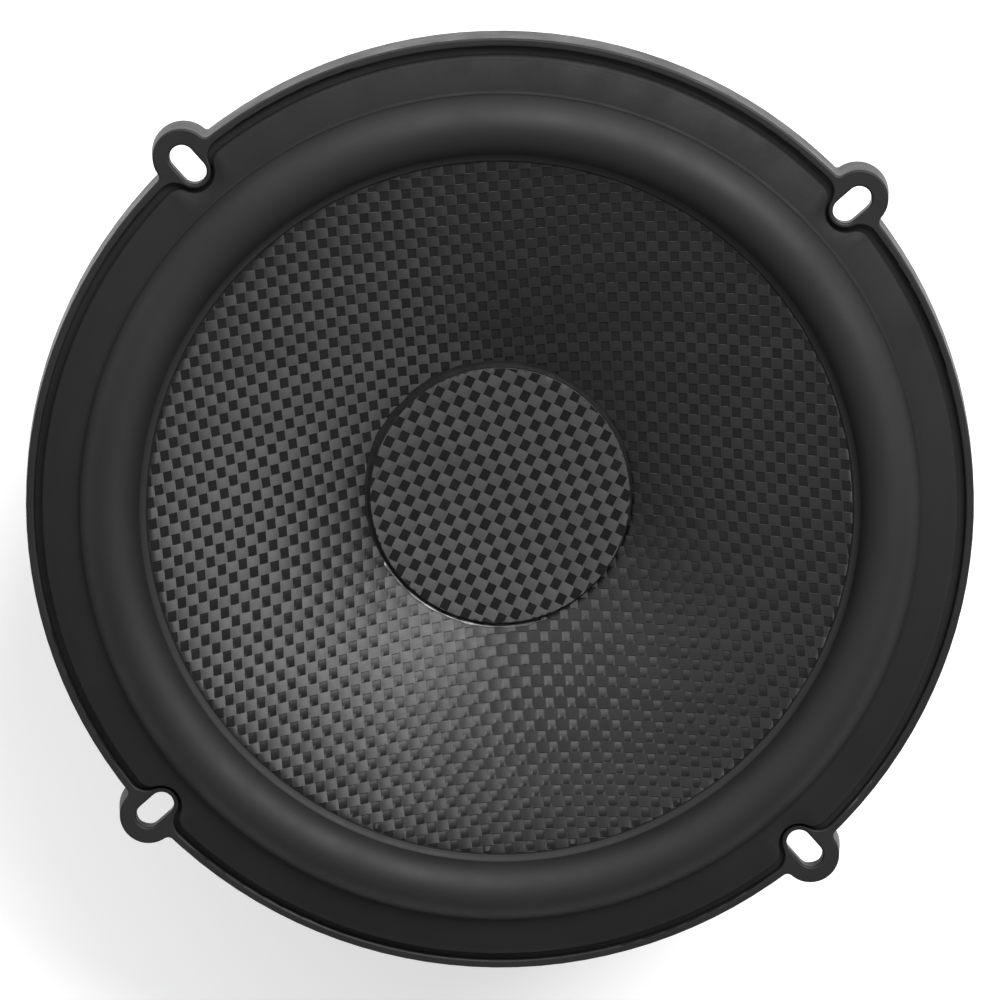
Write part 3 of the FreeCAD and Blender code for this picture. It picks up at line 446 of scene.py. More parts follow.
def cone_drape(slope):
    """A drape for a cone: tows keep their spacing, and the sheet shears between four straight tows.

    The exact drape has a kink at each of the four. The cloth's stiffness rounds it, so it is smoothed.
    """
    shrink = math.cos(slope)
    corner = math.pi / 2 * shrink
    angles = np.linspace(0, 2 * math.pi, DRAPE_ANGLES, endpoint=False)
    quarter = np.floor(angles / (math.pi / 2))
    first = np.cos(angles - quarter * math.pi / 2)
    second = np.sin(angles - quarter * math.pi / 2)
    x = first + second * math.cos(corner)
    y = second * math.sin(corner)
    stretch = np.hypot(x, y) * shrink
    shift = np.arctan2(y, x) / shrink + quarter * math.pi / 2 - angles
    waves = np.fft.rfftfreq(len(angles), 1 / len(angles))
    blur = np.exp(-0.5 * (waves * DRAPE_BLUR) ** 2)
    stretch = np.fft.irfft(np.fft.rfft(stretch) * blur, len(angles))
    shift = np.fft.irfft(np.fft.rfft(shift) * blur, len(angles))

    def drape(u, v):
        angle = np.arctan2(v, u)
        radius = np.hypot(u, v) * np.interp(angle, angles, stretch, period=2 * math.pi)
        return radius, angle + np.interp(angle, angles, shift, period=2 * math.pi)
    return drape


def placed(drape, pitch, turn, bow):
    """The function from grid places, in pitches, to x and y on the object."""
    cos_turn, sin_turn = math.cos(turn), math.sin(turn)

    def place(u, v):
        radius, angle = drape(u * pitch, v * pitch)
        x = radius * np.cos(angle)
        y = radius * np.sin(angle) - bow * x ** 2
        return x * cos_turn - y * sin_turn, x * sin_turn + y * cos_turn
    return place


def sheet_drop(u, v):
    """Depth below the crown over the grid: a line between two crossings takes the higher of the two."""
    drop = np.full(u.shape, WEAVE_DEPTH)
    for shift_u in (-NUDGE, NUDGE):
        for shift_v in (-NUDGE, NUDGE):
            cu, cv = np.floor(u + shift_u + 0.5), np.floor(v + shift_v + 0.5)
            first_over = (cu + cv) % 2 == 0
            drop = np.minimum(drop, crossing_drop((u - cu) * 2, (v - cv) * 2, first_over))
    return drop


def grid_faces(inside):
    """Faces of the grid's squares that touch the inside, the corners that they use, and their places."""
    touched = inside[:-1, :-1] | inside[1:, :-1] | inside[1:, 1:] | inside[:-1, 1:]
    rows, columns = np.nonzero(touched)
    around = [(rows, columns), (rows + 1, columns), (rows + 1, columns + 1), (rows, columns + 1)]
    used = np.zeros(inside.shape, bool)
    for corner in around:
        used[corner] = True
    index = np.full(inside.shape, -1)
    index[used] = np.arange(used.sum())
    return np.stack([index[corner] for corner in around], axis=1), used, rows, columns


def across_tows(place, height_at, u, v, first_over):
    """Direction across the top tow at each place, for its stretched highlight, and the sheet's slope."""
    x, y = place(u, v)
    here = np.stack((x, y), axis=1)
    along_u = np.stack(place(u + PROBE, v), axis=1) - here
    along_v = np.stack(place(u, v + PROBE), axis=1) - here
    tow = np.where(first_over[:, None], along_u, along_v)
    tow = tow / np.linalg.norm(tow, axis=1)[:, None]
    reach = np.hypot(x, y)
    slope = (height_at(reach + SPAN) - height_at(reach - SPAN)) / (2 * SPAN)
    radial = here / np.maximum(reach, SAME_POINT)[:, None]
    normal = np.column_stack([-radial * slope[:, None], np.ones(len(slope))])
    tow = np.column_stack([tow, slope * (tow * radial).sum(axis=1)])
    across = np.cross(normal, tow)
    return across / np.linalg.norm(across, axis=1)[:, None], slope


def tow_shades(cu, cv, first_over, count):
    """A random shade for each tow, mixed with one for each crossing.

    Tows are numbered from the middle, and count is more than the highest number.
    """
    u_tow, v_tow = (cu + count).astype(int), (cv + count).astype(int)
    shades = rng.random((4 * count, 2))
    by_crossing = rng.random((2 * count, 2 * count))[u_tow, v_tow]
    by_tow = np.where(first_over, shades[v_tow, 0], shades[u_tow, 1])
    return TOW_SHARE * by_tow + (1 - TOW_SHARE) * by_crossing


def woven_sheet(name, pitch, turn, radii, height_at, drape, bow=0.0):
    """A woven surface of revolution between two radii, with every crossing modelled.

    turn is the first tow family's angle, and bow bends that family's tows by bow times distance squared.
    """
    low, high = radii
    reach = high / math.cos(STEEPEST)
    lines = weave_lines(reach, pitch, U_STEPS)
    u, v = np.meshgrid(lines, weave_lines(reach, pitch, V_STEPS), indexing="ij")
    place = placed(drape, pitch, turn, bow)
    x, y = place(u, v)
    radius = np.hypot(x, y)
    faces, used, rows, columns = grid_faces((radius >= low) & (radius <= high))
    scale = np.clip(radius, low, high) / np.maximum(radius, SAME_POINT)
    x, y = x * scale, y * scale
    drop = sheet_drop(u, v)
    z = height_at(np.hypot(x, y)) - drop
    piece = new_mesh(name, np.stack([x[used], y[used], z[used]], axis=1), faces)
    piece.data.set_sharp_from_angle(angle=CREASE)

    middle_u = (u[rows, columns] + u[rows + 1, columns]) / 2
    middle_v = (v[rows, columns] + v[rows, columns + 1]) / 2
    cu, cv = np.floor(middle_u + 0.5), np.floor(middle_v + 0.5)
    du, dv = np.abs(middle_u - cu) * 2, np.abs(middle_v - cv) * 2
    first_cell = (cu + cv) % 2 == 0
    first_over = first_cell | (du > TOW_WIDTH)
    # tow walls and steep slopes are marked for painted shade
    wall = ~first_cell & (du < TOW_WIDTH) & ((du > TOW_WIDTH - EDGE_WALL) | (dv > TOW_EDGE))
    across, slope = across_tows(place, height_at, middle_u, middle_v, first_over)
    set_attribute(piece, "across", "FLOAT_VECTOR", "FACE", across)
    set_attribute(piece, "edge", "FLOAT", "FACE", wall | (np.abs(slope) > STEEP))
    set_attribute(piece, "family", "FLOAT", "FACE", ~first_over)
    set_attribute(piece, "shade", "FLOAT", "FACE", tow_shades(cu, cv, first_over, len(lines)))
    # the depth below the crown drives painted shade in the hollows
    set_attribute(piece, "depth", "FLOAT", "POINT", drop[used] / WEAVE_DEPTH)
    return piece


# ---------------------------------------------------------------- cone and cap

CONE_PITCH = 1.86 * MM
CONE_TURN = math.radians(5.0)       # angle in the picture of the cone's first tow family
CONE_BOW = 1.3                      # bend of the cone's first tow family, per metre
CONE_SLOPE = math.radians(22.0)     # slope of the cone that its cloth is draped on
CONE_THICKNESS = 0.75 * MM
CONE_POINTS = 40                    # along each side of the cone's section
CONE_UNDER_CAP = 1.0 * MM           # how far the cone's weave reaches under the cap
CONE_EDGE = 1.2 * MM                # plain edge under the surround's lip
CAP_PITCH = 1.91 * MM
CAP_TURN = math.radians(-26.3)      # angle in the picture of the cap's first tow family
CAP_DISH = 1.2 * MM                 # depth of the dish
CAP_ROUND = 0.45 * MM               # radius of the rounded edge
CAP_WALL = 0.5 * MM
CAP_EDGE = 0.32 * MM                # plain edge outside the cap's weave
CAP_POINTS = 24                     # from the cap's middle to its rounded edge
CAP_ROUND_STEPS = np.array([0.6, 0.25, 0.05])       # points on that edge, in shares of its radius
CAP_GAP = 0.02 * MM                 # between the cap's skirt and the cone


def make_cone():
    """The cone: a woven face over a closed plain shell."""
    radii = (CAP_RADIUS - CONE_UNDER_CAP, CONE_RADIUS - CONE_EDGE)
    sheet = woven_sheet("cone_weave", CONE_PITCH, CONE_TURN - VIEW_TURN, radii, cone_height,
                        cone_drape(CONE_SLOPE), CONE_BOW)
    finish_piece(sheet, WEAVE, "cone_assembly", "cone")
    reaches = np.linspace(NECK_RADIUS, CONE_RADIUS, CONE_POINTS)
    front = [(r, float(cone_height(r)) - BACKING) for r in reaches]
    back = [(r, z - CONE_THICKNESS + WEAVE_DEPTH) for r, z in reversed(front)]
    shell = new_mesh("cone_shell", *turned(front + back, segments=256))
    face_outwards(shell)
    finish_piece(shell, WOVEN_BACK, "cone_assembly")


def cap_height(radius):
    """Height of the cap's woven face: a shallow dish with a rounded edge."""
    radius = np.asarray(radius, float)
    crest = CAP_RADIUS - CAP_ROUND
    bowl = CAP_TOP - CAP_DISH * (1 - np.clip(radius / crest, 0, 1) ** 2)
    over = np.clip((radius - crest) / CAP_ROUND, 0, 1)
    return bowl - CAP_ROUND * (1 - np.sqrt(np.maximum(1 - over ** 2, 0)))


def make_cap():
    """The dished dust cap: a woven face over a closed body whose skirt stands on the cone."""
    sheet = woven_sheet("cap_weave", CAP_PITCH, CAP_TURN - VIEW_TURN, (0.0, CAP_RADIUS - CAP_EDGE),
                        cap_height, flat_drape)
    finish_piece(sheet, CAP_WEAVE, "cone_assembly", "dust_cap")
    skirt = CAP_RADIUS - CAP_WALL
    skirt_foot = float(cone_height(CAP_RADIUS)) + CAP_GAP
    dish = np.linspace(0, CAP_RADIUS - CAP_ROUND, CAP_POINTS)
    radii = np.append(dish, CAP_RADIUS - CAP_ROUND * CAP_ROUND_STEPS)
    face = [(r, float(cap_height(r)) - BACKING) for r in radii]
    wall = [(CAP_RADIUS, CAP_TOP - CAP_ROUND - WEAVE_DEPTH), (CAP_RADIUS, skirt_foot), (skirt, skirt_foot)]
    back = [(r, float(cap_height(r)) - CAP_WALL - WEAVE_DEPTH) for r in radii[radii < skirt][::-1]]
    body = new_mesh("cap_body", *turned(face + wall + back, segments=192))
    face_outwards(body)
    finish_piece(body, WOVEN_BACK, "cone_assembly")


# ---------------------------------------------------------------- surround and trim

BOSS_WALL = 0.9 * MM                # wall round each slot
NOTCH_GAP = 0.5 * MM                # between that wall and the trim ring
NOTCH_FILLET = 2.5 * MM
NOTCH_SHOULDER = 0.4                # size of the trim's shoulder round a notch, against elsewhere
NOTCH_POINTS = 14
CIRCLE_POINTS = 80                  # on the outline's circle between two notches
RUBBER = 0.8 * MM                   # thickness of the roll
ROLL_TURNS = np.linspace(0, math.pi, 27)
ROLL_GAP = 0.05 * MM                # between the roll and the trim ring, and between their outlines
CREST_BAND = 0.01 * MM              # depth of the band at the roll's top that counts as its crest
FOOT_TURN = math.radians(32)        # where the roll's foot leaves its half circle
FOOT_OVER = 0.14 * MM               # how far the foot reaches out over the trim's ridge
FOOT_LIFT = 0.015 * MM              # and how far above the ridge it ends
FOOT_PULL = 0.95                    # how far down the foot's curve is drawn, as a share of its height
FOOT_STEPS = 9
FOOT_BACK = 0.02 * MM               # the foot's underside starts this far inside the trim ring
FOOT_DOWN = 0.1 * MM                # and this far below the ridge's top
LIP_GAP = 0.01 * MM                 # between the lip and the cone
LIP_ROUND = 0.15 * MM
RIDGE_HEIGHT = 0.3 * MM
# distance in from the outline and depth below the flat up the trim's shoulder, in mm
SHOULDER = [(0.0, 0.95), (0.06, 0.68), (0.2, 0.42), (0.42, 0.22), (0.7, 0.12), (0.95, 0.09), (1.07, 0.0)]
# distance out from the inner edge and height above the flat over the trim's ridge, in mm
RIDGE = [(0.75, 0.0), (0.55, 0.05), (0.42, 0.28), (0.2, 0.3), (0.03, 0.2), (0.0, -0.2)]


def on_circle(angle):
    """The point at an angle on the circle of radius 1."""
    return np.array([math.cos(angle), math.sin(angle)])


def outline_with_notches(radius, boss_reach, notch, fillet, count):
    """The trim ring's outline: a circle with a filleted round notch at each slot.

    Each entry is a point, its outward normal, and a share that is 1 on the circle and 0 round a notch.
    """
    inside = radius - fillet
    cosine = (boss_reach ** 2 + inside ** 2 - (notch + fillet) ** 2) / (2 * boss_reach * inside)
    angle = math.acos(cosine)
    fillet_center = inside * on_circle(angle)
    boss = np.array([boss_reach, 0.0])
    toward = boss - fillet_center
    end_angle = math.atan2(toward[1], toward[0])
    notch_angle = math.atan2(-toward[1], -toward[0])
    quarter = 2 * math.pi / EAR_COUNT
    round_notch, fillet_points, circle = [], [], []
    for k in range(count):                       # from the notch's lower side to its upper side
        away = on_circle(-notch_angle + (2 * notch_angle - 2 * math.pi) * k / (count - 1))
        round_notch.append((boss + notch * away, -away, 0.0))
    for k in range(count):                       # up to the circle
        away = on_circle(end_angle + (angle - end_angle) * k / (count - 1))
        fillet_points.append((fillet_center + fillet * away, away, k / (count - 1)))
    for k in range(1, CIRCLE_POINTS):
        away = on_circle(angle + (quarter - 2 * angle) * k / CIRCLE_POINTS)
        circle.append((radius * away, away, 1.0))
    mirrored = [(p * (1, -1), n * (1, -1), share) for p, n, share in reversed(fillet_points)]
    one_ear = mirrored[:-1] + round_notch + fillet_points[1:] + circle
    result = []
    for ear in range(EAR_COUNT):
        cos_ear, sin_ear = on_circle(ear * quarter)
        turn = np.array([[cos_ear, -sin_ear], [sin_ear, cos_ear]])
        result += [(turn @ p, turn @ n, share) for p, n, share in one_ear]
    return result


def trim_outline():
    boss_reach = BOLT_RADIUS - (SLOT_LENGTH / 2 - SLOT_HALF_WIDTH)
    notch = SLOT_HALF_WIDTH + BOSS_WALL + NOTCH_GAP
    return outline_with_notches(TRIM_RADIUS, boss_reach, notch, NOTCH_FILLET, NOTCH_POINTS)


def roll_foot(crest, roll_radius, roll_base):
    """Fillet that carries the roll's outer face down to the trim ring's ridge, where it closes the gap."""
    start = np.array([crest, roll_base]) + roll_radius * on_circle(FOOT_TURN)
    slope = np.array([math.sin(FOOT_TURN), -math.cos(FOOT_TURN)])
    end = np.array([TRIM_INNER + FOOT_OVER, TRIM_TOP + FOOT_LIFT])
    middle = start + slope * (start[1] - end[1]) * FOOT_PULL / math.cos(FOOT_TURN)
    steps = np.linspace(1, 0, FOOT_STEPS)
    curve = [(1 - t) ** 2 * start + 2 * t * (1 - t) * middle + t * t * end for t in steps]
    return [(TRIM_INNER - FOOT_BACK, TRIM_TOP - FOOT_DOWN)] + [tuple(p) for p in curve]


def make_surround():
    """The rubber half-roll, its lip on the cone and its flange under the trim ring, notched like the ring."""
    radius, height = front_points("surround")
    crest = float(radius[height > ROLL_TOP - CREST_BAND].mean())
    roll_outer = TRIM_INNER - ROLL_GAP
    roll_radius = roll_outer - crest
    roll_base = ROLL_TOP - roll_radius
    flange_top, flange_foot = TRIM_FOOT, foot("surround")
    lip_foot = CONE_TOP + LIP_GAP
    inside = roll_radius - RUBBER
    inner_side = [(LIP_INNER, lip_foot), (crest - inside, lip_foot)]
    inner_side += [(crest - inside * math.cos(t), roll_base + inside * math.sin(t)) for t in ROLL_TURNS]
    inner_side += [(roll_outer - RUBBER, flange_foot)]
    outer_side = [(roll_outer, flange_top)]
    outer_side += roll_foot(crest, roll_radius, roll_base)
    outer_side += [(crest + roll_radius * math.cos(t), roll_base + roll_radius * math.sin(t))
                   for t in ROLL_TURNS if t > FOOT_TURN]
    outer_side += [(LIP_INNER + LIP_ROUND, roll_base),
                   (LIP_INNER + LIP_ROUND / 3, roll_base - LIP_ROUND / 3),
                   (LIP_INNER, roll_base - LIP_ROUND)]
    rows = []
    for point, _, _ in trim_outline():
        angle = math.atan2(point[1], point[0])
        edge = float(np.linalg.norm(point)) - ROLL_GAP
        section = inner_side + [(edge, flange_foot), (edge, flange_top)] + outer_side
        rows.append([(r * math.cos(angle), r * math.sin(angle), z) for r, z in section])
    piece = new_mesh("surround_roll", *closed_rows(rows))
    face_outwards(piece)
    finish_piece(piece, ROLL, stands_for="surround")
    share_motion(piece, (roll_outer - reach_of(piece)) / (2 * roll_radius))


def make_trim():
    """The trim ring: a rounded outer edge, a faint step inside it, and a fine ridge round its inner edge."""
    flat = TRIM_TOP - RIDGE_HEIGHT
    ridge = [(TRIM_INNER + out * MM, flat + up * MM) for out, up in RIDGE] + [(TRIM_INNER, TRIM_FOOT)]
    rows = []
    for point, normal, share in trim_outline():
        size = (NOTCH_SHOULDER + (1 - NOTCH_SHOULDER) * share) * MM
        row = [(*point, TRIM_FOOT)]
        row += [(*(point - normal * inwards * size), flat - down * size) for inwards, down in SHOULDER]
        angle = math.atan2(point[1], point[0])
        row += [(r * math.cos(angle), r * math.sin(angle), z) for r, z in ridge]
        rows.append(row)
    piece = new_mesh("trim_ring", *closed_rows(rows))
    face_outwards(piece)
    finish_piece(piece, TRIM, "chassis", "front_gasket")


# ---------------------------------------------------------------- glue

GLUE_WIDTH = 1.35 * MM              # full width and height of the glue round the cap
GLUE_HEIGHT = 0.78 * MM
GLUE_HOLLOW = 1.8                   # how hollow that glue's face is: 1 is flat
GLUE_EDGE = 0.02 * MM               # its thin edge is this high, and the seam's is this deep
GLUE_WIDEST = math.radians(115.0)   # angle in the picture where that glue is widest
GLUE_SHARE = 0.44                   # middle share of the full width, how far it swings, and its least
GLUE_SWING = 0.50
GLUE_LEAST = 0.1
GLUE_INSIDE = 0.15 * MM             # how far that glue starts inside the cap's edge
GLUE_FOOT = 0.1 * MM                # and how far it goes into the weave
SEAM_MIDDLE = math.radians(250.0)   # angle in the picture of the middle of the squeezed-out bead
SEAM_SPAN = math.radians(38)        # the bead shows over this angle to each side of its middle
SEAM_FADE = 0.1                     # and goes under the weave over this angle, in radians
SEAM_SINK = 0.35 * MM
SEAM_REACH = 0.5 * MM               # middle of the bead, outside the cap
SEAM_HALF_WIDTH = 0.23 * MM
SEAM_HEIGHT = 0.06 * MM
SEAM_FOOT = 0.15 * MM
LIP_GLUE_RADIUS = 0.16 * MM
LIP_GLUE_IN = 0.02 * MM             # its middle lies this far inside the lip
LIP_GLUE_UP = 0.06 * MM             # and this far above the cone
LIP_GLUE_SIDES = 10
ARC_STEPS = 9                       # points over the top of a bead of glue


def uneven(angle, phases, waves, sizes):
    """A factor near 1 that wanders round the ring as a sum of sine waves."""
    return 1 + sum(size * math.sin(wave * angle + phase) for phase, wave, size in zip(phases, waves, sizes))


def make_ring(name, section, segments, wobble, material, stands_for=None):
    """A closed ring of glue on the cone."""
    ring = new_mesh(name, *turned(section, segments, wobble))
    face_outwards(ring)
    finish_piece(ring, material, "cone_assembly", stands_for)


def make_cap_glue(phases):
    """The glue fillet round the cap."""
    def wobble(section, angle):
        width = max(GLUE_SHARE + GLUE_SWING * math.cos(angle - GLUE_WIDEST + VIEW_TURN), GLUE_LEAST)
        width *= uneven(angle, phases, waves=(9, 31), sizes=(0.10, 0.08))
        ring = section.copy()
        ring[:, 0] = CAP_RADIUS - GLUE_INSIDE + section[:, 0] * width
        ring[:, 1] = cone_height(ring[:, 0]) + section[:, 1]
        return ring

    over = np.linspace(0, 1, ARC_STEPS)
    section = [(GLUE_WIDTH * t, GLUE_HEIGHT * (1 - t) ** GLUE_HOLLOW + GLUE_EDGE) for t in over]
    section += [(GLUE_WIDTH, -GLUE_FOOT), (0.0, -GLUE_FOOT)]
    make_ring("cap_glue", section, 480, wobble, GLUE, "cap_bead")


def make_cap_seam(phases):
    """The thin wet bead beside the cap, which sinks under the weave away from its middle."""
    def wobble(section, angle):
        size = uneven(angle, phases, waves=(17, 41), sizes=(0.3, 0.3))
        away = abs((angle - SEAM_MIDDLE + VIEW_TURN + math.pi) % (2 * math.pi) - math.pi)
        sink = SEAM_SINK * min(max((away - SEAM_SPAN) / SEAM_FADE, 0.0), 1.0)
        ring = section.copy()
        ring[:, 0] = CAP_RADIUS + SEAM_REACH + section[:, 0] * size
        ring[:, 1] = cone_height(ring[:, 0]) + section[:, 1] - sink
        return ring

    over = np.linspace(-1, 1, ARC_STEPS)
    section = [(SEAM_HALF_WIDTH * t, SEAM_HEIGHT * (1 - t * t) - GLUE_EDGE) for t in over]
    section += [(SEAM_HALF_WIDTH, -SEAM_FOOT), (-SEAM_HALF_WIDTH, -SEAM_FOOT)]
    make_ring("cap_seam", section, 720, wobble, WET_GLUE)


def make_lip_glue(phases):
    """The fine line of glue along the surround's lip."""
    middle = np.array([LIP_INNER - LIP_GLUE_IN, float(cone_height(LIP_INNER)) + LIP_GLUE_UP])

    def wobble(section, angle):
        return middle + section * uneven(angle, phases, waves=(31, 53), sizes=(0.2, 0.15))

    turns = [2 * math.pi * side / LIP_GLUE_SIDES for side in range(LIP_GLUE_SIDES)]
    section = [LIP_GLUE_RADIUS * on_circle(turn) for turn in turns]
    make_ring("lip_glue", section, 720, wobble, GLUE)


def make_beads():
    """Glue squeezed out round the cap and along the surround's lip, uneven as glue is."""
    phases = rng.random(6) * 2 * math.pi
    make_cap_glue(phases[0:2])
    make_cap_seam(phases[4:6])
    make_lip_glue(phases[2:4])


# ---------------------------------------------------------------- spider and leads

SPIDER_THICKNESS = 0.45 * MM
SPIDER_WAVE = 0.1 * MM              # the corrugations start where the disc is this far off level
LEAD_BEND = 7.0 * MM                # radius of the bend over the terminal
LEAD_RISE = 2.2 * MM                # from the top of that bend to the cone
LEAD_END = 0.1                      # how far short of the CAD lead's end a braid stops, in its radii
STRAIGHT_STEPS = 8
BEND_STEPS = 40
SLACK_STEPS = 90
STRAND_COUNT = 8
STRAND_TURNS = 17                   # turns of each strand along a lead
STRAND_SIDES = 6
STRAND_STEPS = 520
# sizes of a strand, as shares of the lead's radius
STRAND_REACH = 0.62                 # from the lead's middle to the strand's
STRAND_WEAVE = 0.16                 # how far it goes in and out past the others
STRAND_HALF_WIDTH = 0.54
STRAND_HALF_HEIGHT = 0.216


def make_spider():
    """The corrugated cloth disc, pressed from one sheet of coarse cloth."""
    radius, height = front_points("spider")
    rings = np.unique(np.round(radius, 6))
    profile = [(r, float(height[np.abs(radius - r) < 2 * LEVEL].mean())) for r in rings]
    section = profile + [(r, z - SPIDER_THICKNESS) for r, z in reversed(profile)]
    piece = new_mesh("spider_cloth", *turned(section, segments=240))
    face_outwards(piece)
    finish_piece(piece, CLOTH, stands_for="spider")
    flat = profile[-1][1]
    waving = [r for r, z in profile if abs(z - flat) > SPIDER_WAVE]
    share_motion(piece, (waving[-1] - reach_of(piece)) / (waving[-1] - waving[0]))


def lead_path(node, turn):
    """Points along a lead's middle: up from its terminal, over a bend, then a slack curve to the cone."""
    corners = points_of(node)
    reach = corners[:, 0] * math.cos(turn) + corners[:, 1] * math.sin(turn)
    side = corners[:, 1] * math.cos(turn) - corners[:, 0] * math.sin(turn)
    radius = (side.max() - side.min()) / 2
    start = reach.max() - radius
    end = reach.min() + LEAD_END * radius
    low, high = corners[:, 2].min(), corners[:, 2].max() - radius
    bend_top = high - LEAD_RISE
    straight = [(start, z) for z in np.linspace(low, bend_top - LEAD_BEND, STRAIGHT_STEPS)[:-1]]
    bend = [(start - LEAD_BEND * (1 - math.cos(t)), bend_top - LEAD_BEND * (1 - math.sin(t)))
            for t in np.linspace(0, math.pi / 2, BEND_STEPS)[:-1]]
    run = start - LEAD_BEND - end
    slack = [(start - LEAD_BEND - run * t, bend_top + LEAD_RISE * t * t)
             for t in np.linspace(0, 1, SLACK_STEPS)]
    middle = (side.max() + side.min()) / 2
    path = np.array([(r * math.cos(turn) - middle * math.sin(turn),
                      r * math.sin(turn) + middle * math.cos(turn), z) for r, z in straight + bend + slack])
    return path, radius


def strand_middle(spine, level, other, radius, number, share):
    """The middle of one strand of a braid, and its outward direction at each step."""
    way = 1 if number % 2 else -1
    angle = 2 * math.pi * (number / STRAND_COUNT + way * STRAND_TURNS * share)
    ring_radius = radius * (STRAND_REACH + STRAND_WEAVE * np.sin(angle * STRAND_COUNT / 2) * way)
    sideways = (np.cos(angle) * ring_radius)[:, None] * level
    upwards = (np.sin(angle) * ring_radius)[:, None] * other
    outward = np.cos(angle)[:, None] * level + np.sin(angle)[:, None] * other
    return spine + sideways + upwards, outward


def braid(path, radius):
    """Corners, faces and share of length of STRAND_COUNT flat strands plaited round a path."""
    steps = np.r_[0, np.cumsum(np.linalg.norm(np.diff(path, axis=0), axis=1))]
    share = np.linspace(0, 1, STRAND_STEPS)
    spine = np.stack([np.interp(share * steps[-1], steps, path[:, k]) for k in range(3)], axis=1)
    tangent = np.gradient(spine, axis=0)
    tangent /= np.linalg.norm(tangent, axis=1)[:, None]
    level = np.cross(spine[0] - spine[-1], (0, 0, 1.0))
    level /= np.linalg.norm(level)
    other = np.cross(tangent, level)
    size = radius * np.array([STRAND_HALF_WIDTH, STRAND_HALF_HEIGHT])
    outline = [size * on_circle(2 * math.pi * side / STRAND_SIDES) for side in range(STRAND_SIDES)]
    corners, faces = [], []
    for number in range(STRAND_COUNT):
        middle, outward = strand_middle(spine, level, other, radius, number, share)
        along = np.gradient(middle, axis=0)
        along /= np.linalg.norm(along, axis=1)[:, None]
        sideways = np.cross(along, outward)
        start = len(corners)
        for k in range(STRAND_STEPS):
            corners += [middle[k] + wide * sideways[k] + high * outward[k] for wide, high in outline]
        for k in range(STRAND_STEPS - 1):
            for side in range(STRAND_SIDES):
                a = start + k * STRAND_SIDES + side
                b = start + k * STRAND_SIDES + (side + 1) % STRAND_SIDES
                faces.append([a, b, b + STRAND_SIDES, a + STRAND_SIDES])
        last = start + (STRAND_STEPS - 1) * STRAND_SIDES
        faces.append([start + side for side in reversed(range(STRAND_SIDES))])
        faces.append([last + side for side in range(STRAND_SIDES)])
    return corners, faces, np.tile(np.repeat(share, STRAND_SIDES), STRAND_COUNT)


def make_leads():
    """The two flexible leads, each plaited from copper strands."""
    board = points_of("terminal_board").mean(axis=0)
    turn = math.atan2(board[1], board[0])
    for polarity in ("positive", "negative"):
        path, radius = lead_path("lead_" + polarity, turn)
        corners, faces, shares = braid(path, radius)
        piece = new_mesh("braid_" + polarity, corners, faces)
        finish_piece(piece, BRAID, stands_for="lead_" + polarity)
        share_motion(piece, shares)


# ---------------------------------------------------------------- finishes of the CAD nodes

CAD_FINISHES = {
    "basket": POWDER, "rear_gasket": FOAM, "magnet_boot": BOOT, "front_plate": STEEL, "yoke": STEEL,
    "magnet": FERRITE, "copper_sleeve": COPPER, "vent_screen": SCREW, "plate_screws": SCREW,
    "terminal_board": BOARD, "terminal_positive": BRASS, "terminal_negative": BRASS, "terminal_rivets": BRASS,
    "solder_joints": SOLDER, "coil_former": FORMER, "coil_winding": COPPER, "neck_bead": GLUE,
    "lead_anchors": GLUE,
}


def finish_cad_nodes():
    for node, material in CAD_FINISHES.items():
        dress(NODES[node], material)


# ---------------------------------------------------------------- floor, light and camera

FLOOR_HALF_SIZE = 3.0
FLOOR_GAP = 0.05 * MM               # between the speaker and the floor
FLOOR_GLOW = 0.3                    # strength of the floor's own light
AMBIENT = 0.55                      # strength of the light from all round
CAMERA_DISTANCE = 0.95
SENSOR_WIDTH = 36.0                 # in mm, as Blender has it
CAMERA_TILT = 11.3                  # degrees off the speaker's axis
PICTURE_WIDTH = 167.4 * MM          # width that the camera takes in, at the rim
PICTURE_RISE = 1.84 * MM            # how far the picture's middle is above the speaker's


def make_floor():
    """A pale floor under the speaker, brightened a little so that shadows on it stay soft."""
    size = FLOOR_HALF_SIZE
    z = foot("magnet_boot") - FLOOR_GAP
    floor = new_mesh("floor", [(-size, -size, z), (size, -size, z), (size, size, z), (-size, size, z)],
                     [[0, 1, 2, 3]], smooth=False)
    material, tree, shader = new_material("pale_floor")
    tree.links.new(ramp(tree, noise(tree, 2.0), 0.86, 0.9), shader.inputs["Base Color"])
    shader.inputs["Roughness"].default_value = 0.9
    shader.inputs["Emission Color"].default_value = (1, 1, 1, 1)
    shader.inputs["Emission Strength"].default_value = FLOOR_GLOW
    dress(floor, material)


def direction(image_angle, tilt):
    """Unit vector that leans tilt degrees off the speaker's axis, towards an angle in the picture."""
    angle = math.radians(image_angle) - VIEW_TURN
    lean = math.radians(tilt)
    return Vector((math.sin(lean) * math.cos(angle), math.sin(lean) * math.sin(angle), math.cos(lean)))


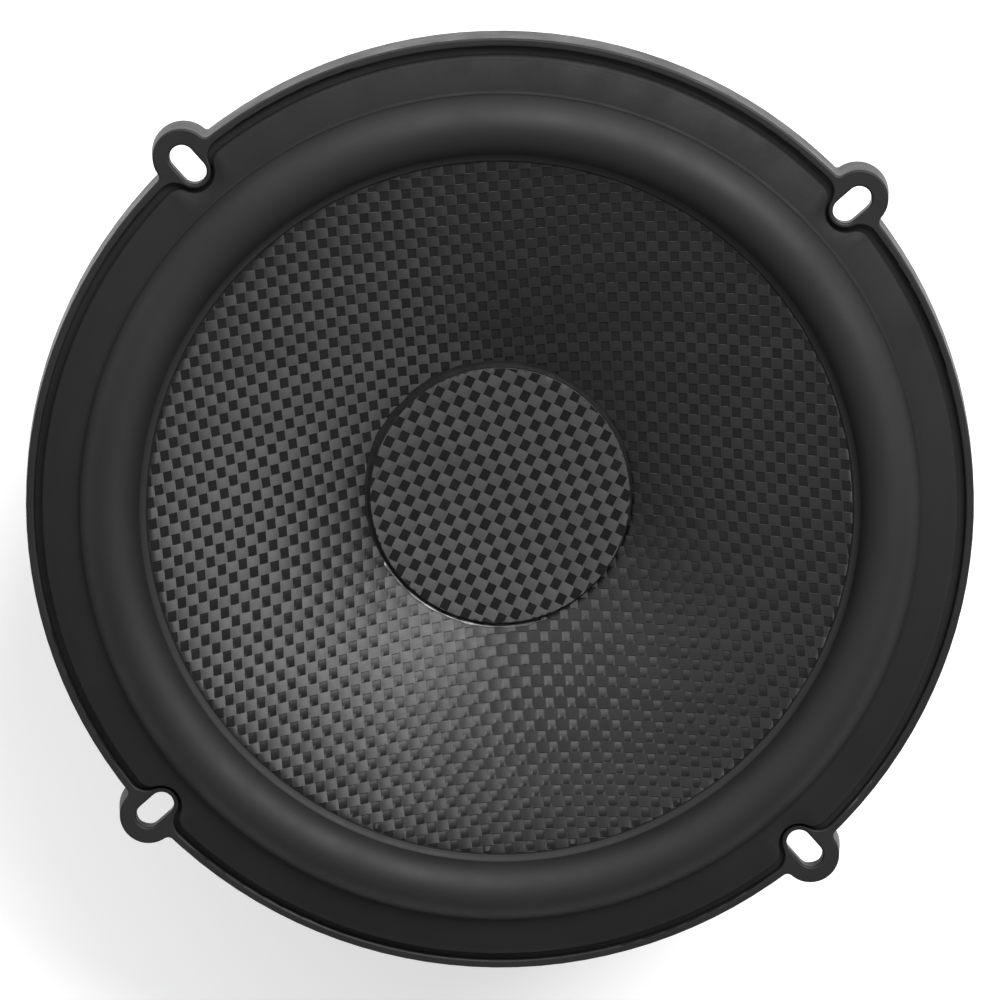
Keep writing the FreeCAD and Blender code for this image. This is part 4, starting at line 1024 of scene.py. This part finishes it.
def add_area_light(name, image_angle, tilt, distance, size, power):
    """A rectangular lamp that faces the speaker."""
    light = bpy.data.lights.new(name, "AREA")
    light.shape = "RECTANGLE"
    light.size, light.size_y = size
    light.energy = power
    lamp = bpy.data.objects.new(name, light)
    bpy.context.scene.collection.objects.link(lamp)
    away = direction(image_angle, tilt)
    lamp.location = away * distance
    lamp.rotation_euler = away.to_track_quat("Z", "Y").to_euler()


def make_world():
    """Dim white light from all round, behind which the camera sees a white backdrop."""
    world = bpy.data.worlds.new("studio")
    world.use_nodes = True
    tree = world.node_tree
    ambient = tree.nodes["Background"]
    backdrop = add(tree, "ShaderNodeBackground")
    for source, strength in ((ambient, AMBIENT), (backdrop, 1.0)):
        source.inputs["Color"].default_value = (1, 1, 1, 1)
        source.inputs["Strength"].default_value = strength
    choice = add(tree, "ShaderNodeMixShader")
    tree.links.new(add(tree, "ShaderNodeLightPath").outputs["Is Camera Ray"], choice.inputs[0])
    tree.links.new(ambient.outputs["Background"], choice.inputs[1])
    tree.links.new(backdrop.outputs["Background"], choice.inputs[2])
    tree.links.new(choice.outputs["Shader"], tree.nodes["World Output"].inputs["Surface"])
    bpy.context.scene.world = world


def make_lights():
    """A square key light at the picture's upper right and a weaker, wider light above."""
    add_area_light("key", image_angle=58, tilt=46, distance=1.5, size=(0.9, 0.9), power=34)
    add_area_light("top_fill", image_angle=110, tilt=62, distance=1.6, size=(1.2, 0.6), power=9)
    bpy.context.scene.view_settings.view_transform = "Standard"


def make_camera():
    """The camera, which leans off the speaker's axis towards the picture's top."""
    lens = bpy.data.cameras.new("camera")
    lens.sensor_width = SENSOR_WIDTH
    lens.lens = SENSOR_WIDTH * CAMERA_DISTANCE / PICTURE_WIDTH
    camera = bpy.data.objects.new("camera", lens)
    bpy.context.scene.collection.objects.link(camera)
    up = direction(90, 90)
    center = Vector((0, 0, RIM_TOP)) + up * PICTURE_RISE
    away = direction(90, CAMERA_TILT)
    camera.location = center + away * CAMERA_DISTANCE
    right = up.cross(away).normalized()
    true_up = away.cross(right).normalized()
    camera.rotation_euler = Matrix((right, true_up, away)).transposed().to_euler()
    bpy.context.scene.camera = camera


make_cone()
make_cap()
make_surround()
make_trim()
make_beads()
make_spider()
make_leads()
finish_cad_nodes()
make_floor()
make_world()
make_lights()
make_camera()
